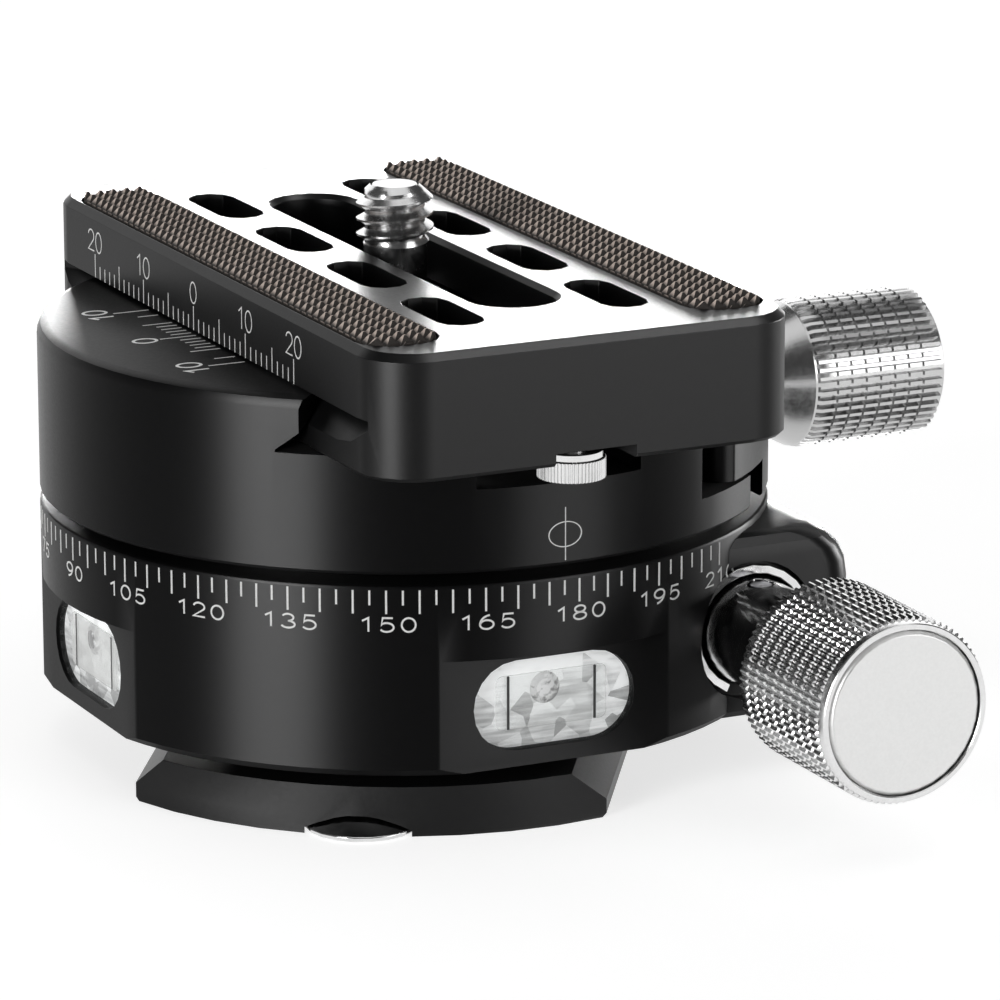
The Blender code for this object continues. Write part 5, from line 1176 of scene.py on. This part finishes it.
# Level vials
def add_window(side, direction, materials):
    """The clear block, the vial in it with its two lines and bubble, and a glowing sheet of painted light
    behind them.
    """
    low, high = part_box(f"{side}_vial_block")
    size = high - low
    length, depth = (size.x, size.y) if side == "front" else (size.y, size.x)
    place = facing(direction, (low + high) / 2 + Vector(direction) * depth / 2)
    window, glow_sheet, glass, line, bubble = materials
    half_length = length / 2 + WINDOW_GROWTH
    half_height = size.z / 2 + WINDOW_GROWTH

    def part(name, rings, material, slot, *nodes):
        return add_skin(f"{side}_{name}", rings, place, SHARP_ANGLE, material, "base", slot, *nodes)

    outline = rounded_outline(half_length, half_height, half_height, WINDOW_CORNER_STEPS)
    block = part("window_block", levels(outline, (-depth, 0)), window, "clear_block", f"{side}_vial_block")
    soften_edges(block, VIAL_EDGE / 2)
    inner_height = half_height - WINDOW_RIM_GAP
    inner = rounded_outline(half_length - WINDOW_RIM_GAP, inner_height, inner_height, WINDOW_CORNER_STEPS)
    # A glowing sheet of painted light behind the vial
    part("window_liner", levels(inner, (-depth + VIAL_EDGE, -GLOW_SHEET_DEPTH)), glow_sheet, "clear_block")
    vial = [(u, v + VIAL_RISE) for u, v in rounded_outline(
        VIAL_LENGTH / 2, VIAL_WIDTH / 2, VIAL_CORNER, WINDOW_CORNER_STEPS)]
    vial_back = -VIAL_FRONT_DEPTH - VIAL_THICKNESS
    tube = part("vial_body", levels(vial, (vial_back, -VIAL_FRONT_DEPTH)), glass, "vial_fluid",
                f"{side}_vial_tube")
    soften_edges(tube, VIAL_EDGE, VIAL_EDGE_SEGMENTS)
    line_front = -VIAL_FRONT_DEPTH + PRINT_LIFT
    bar = rounded_outline(LINE_WIDTH / 2, LINE_HEIGHT / 2, LINE_CORNER, LINE_CORNER_STEPS)
    for name, place_u in (("near", -LINE_PLACE), ("far", LINE_PLACE)):
        standing = [(place_u + u, v + VIAL_RISE) for u, v in bar]
        part(f"vial_line_{name}", levels(standing, (line_front - PRINT_ROOT, line_front)), line, "dark_steel")
    bubble_half = BUBBLE_RADIUS * BUBBLE_FLATNESS
    rings = []
    for step in range(1, BUBBLE_RINGS):
        angle = pi * step / BUBBLE_RINGS
        height = -BUBBLE_TOP - bubble_half - bubble_half * cos(angle)
        rings.append([(u + BUBBLE_PLACE, v + BUBBLE_RISE, height)
                      for u, v, _ in ring(BUBBLE_RADIUS * sin(angle), 0, BUBBLE_STEPS)])
    part("vial_bubble", rings, bubble, "vial_fluid")


# Studio
def away(azimuth, elevation):
    """The direction from the object to a camera or a light. Azimuth 0 is the front."""
    level = cos(elevation)
    return Vector((sin(azimuth) * level, -cos(azimuth) * level, sin(elevation)))


def add_camera():
    back = away(CAMERA_AZIMUTH, CAMERA_ELEVATION)
    right = UP.cross(back).normalized()
    up = back.cross(right)
    turned_right = right * cos(CAMERA_ROLL) + up * sin(CAMERA_ROLL)
    turned_up = up * cos(CAMERA_ROLL) - right * sin(CAMERA_ROLL)
    data = bpy.data.cameras.new("camera")
    data.lens = CAMERA_LENS_MM
    data.sensor_width = CAMERA_SENSOR_MM
    data.clip_start = CAMERA_NEAR
    data.clip_end = CAMERA_FAR
    camera = add_object("camera", data)
    turn = Matrix((turned_right, turned_up, back)).transposed().to_4x4()
    camera.matrix_world = Matrix.Translation(CAMERA_TARGET + back * CAMERA_DISTANCE) @ turn
    bpy.context.scene.camera = camera


def add_floor():
    """A pale floor. It looks near white to the camera and still takes the object's shadow."""
    half = FLOOR_HALF_WIDTH
    corners = [(-half, -half, 0), (half, -half, 0), (half, half, 0), (-half, half, 0)]
    mesh = bpy.data.meshes.new("floor")
    mesh.from_pydata(corners, [], [(0, 1, 2, 3)])
    finish = Finish("floor_paper", (FLOOR_ALBEDO,) * 3, FLOOR_ROUGHNESS, Specular_IOR_Level=0.0,
                    Emission_Color=WHITE)
    finish.vary(FLOOR_TONES)
    path = finish.node("ShaderNodeLightPath")
    seen = finish.math("MAXIMUM", path.outputs["Is Camera Ray"], finish.math(
        "MAXIMUM", path.outputs["Is Glossy Ray"], path.outputs["Is Transmission Ray"]))
    glow = finish.math("MULTIPLY", seen, FLOOR_GLOW)
    finish.link(glow, finish.shader.inputs["Emission Strength"])
    mesh.materials.append(finish.material)
    add_object("floor", mesh)


def add_room():
    """An even grey room around the object."""
    world = bpy.data.worlds.new("room")
    bpy.context.scene.world = world
    world.use_nodes = True
    background = world.node_tree.nodes["Background"]
    background.inputs["Color"].default_value = (ROOM_LEVEL, ROOM_LEVEL, ROOM_LEVEL, 1)


def add_softbox(name, azimuth, elevation, width, height, brightness):
    """A soft rectangular light that faces the object."""
    outward = away(radians(azimuth), radians(elevation))
    data = bpy.data.lights.new(name, "AREA")
    data.shape = "RECTANGLE"
    data.size = width
    data.size_y = height
    data.energy = brightness * pi * width * height
    light = add_object(name, data)
    light.visible_camera = False
    light.location = CAMERA_TARGET + outward * LIGHT_REACH
    light.rotation_mode = "QUATERNION"
    light.rotation_quaternion = outward.to_track_quat("Z", "Y")
    return light


def add_lights(black_pieces):
    """Softboxes for everything, and strips that only the black pieces take."""
    for name, values in SOFTBOXES.items():
        add_softbox(name, *values)
    receivers = bpy.data.collections.new("black_metal")
    for piece in black_pieces:
        receivers.objects.link(piece)
    for name, values in BLACK_STRIPS.items():
        strip = add_softbox(name, *values)
        strip.visible_diffuse = False
        strip.light_linking.receiver_collection = receivers


# Whole scene
def dress_bodies(white):
    turned = turned_black()
    pieces = [dressed(node, material, "black_aluminium", edge) for node, material, edge in (
        ("lower_housing", turned, BODY_EDGE),
        ("upper_body", turned, BODY_EDGE),
        ("moving_jaw", turned, BODY_EDGE),
        ("quick_release_plate", blasted_black(), PLATE_EDGE),
        ("dovetail_foot", foot_black(), BODY_EDGE),
    )]
    _, housing_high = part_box("lower_housing")
    _, body_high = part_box("upper_body")
    radius = body_high.y
    add_ring_scale(white, radius, housing_high.z)
    add_index_mark(white, radius, housing_high.z + INDEX_BASE_RISE)
    add_plate_scale(white)
    add_vernier(white)
    return pieces


def dress_metal():
    knob_centre = centre_of("drive_knob")
    clamp_centre = centre_of("clamp_knob")
    add_drive_knob(knob_silver("drive_knob_silver", Y_AXIS, knob_centre, DRIVE_SHADE))
    # The clamp knob's silver is darkened: painted shade
    add_clamp_knob(knob_silver("clamp_knob_silver", X_AXIS, clamp_centre, CLAMP_PAINTED_SHADE))
    dressed("drive_knob_cap", cap_silver(knob_centre), "cap_metal", SMALL_EDGE)
    sleeve = polished_steel("sleeve_steel", Y_AXIS, centre_of("eccentric_sleeve"), SLEEVE_ROUGHNESS)
    dressed("eccentric_sleeve", sleeve, "bright_steel", SMALL_EDGE)
    dressed("sleeve_circlip", sleeve, "bright_steel", SMALL_EDGE)
    add_camera_screw(polished_steel("screw_steel", Z_AXIS, centre_of("camera_screw"), SCREW_ROUGHNESS,
                                    SCREW_SHADE))
    for node in ("plate_stop_screw_near", "plate_stop_screw_far"):
        add_stop_screw(node, polished_steel(f"{node}_steel", Z_AXIS, centre_of(node), PLATE_STOP_ROUGHNESS))
    for node in ("foot_stop_screw_front", "foot_stop_screw_rear"):
        steel = polished_steel(f"{node}_steel", Z_AXIS, centre_of(node), FOOT_STOP_ROUGHNESS)
        dressed(node, steel, "bright_steel", SMALL_EDGE)


def dress_soft_and_clear():
    _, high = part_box("grip_pad_left")
    rubber = grip_rubber(high.z - PYRAMID_HEIGHT, high.z)
    add_grip_pad("grip_pad_left", rubber)
    add_grip_pad("grip_pad_right", rubber)
    block_low, block_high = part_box("front_vial_block")
    # The windows' glowing sheet of painted light, with painted shade lower down
    glow_sheet = window_liner(block_low.z, block_high.z)
    materials = (window_clear(), glow_sheet, vial_glass(), plain_finish("line_black"), bubble_skin())
    add_window("front", FRONT, materials)
    add_window("left", LEFT, materials)


def paint_inner_nodes():
    """Gives every CAD node that stays in the scene the finish of its slot."""
    finishes = {name: plain_finish(name) for name in ("gear_steel", "bronze", "washer_plastic")}
    finishes["dark_steel"] = plain_finish("blackened_steel")
    finishes["black_aluminium"] = foot_black()
    finishes["bright_steel"] = polished_steel("inner_steel", Z_AXIS, (0, 0, 0), INNER_ROUGHNESS)
    slots = {row["node"]: row["material_slot"] for row in frame["record"]["subparts"]}
    for name, node in frame["nodes"].items():
        if not node.hide_render:
            node.data.materials.clear()
            node.data.materials.append(finishes[slots[name]])


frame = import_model()
add_camera()
add_floor()
add_room()
bpy.context.scene.view_settings.view_transform = "Standard"
add_lights(dress_bodies(plain_finish("print_white")))
dress_metal()
dress_soft_and_clear()
paint_inner_nodes()
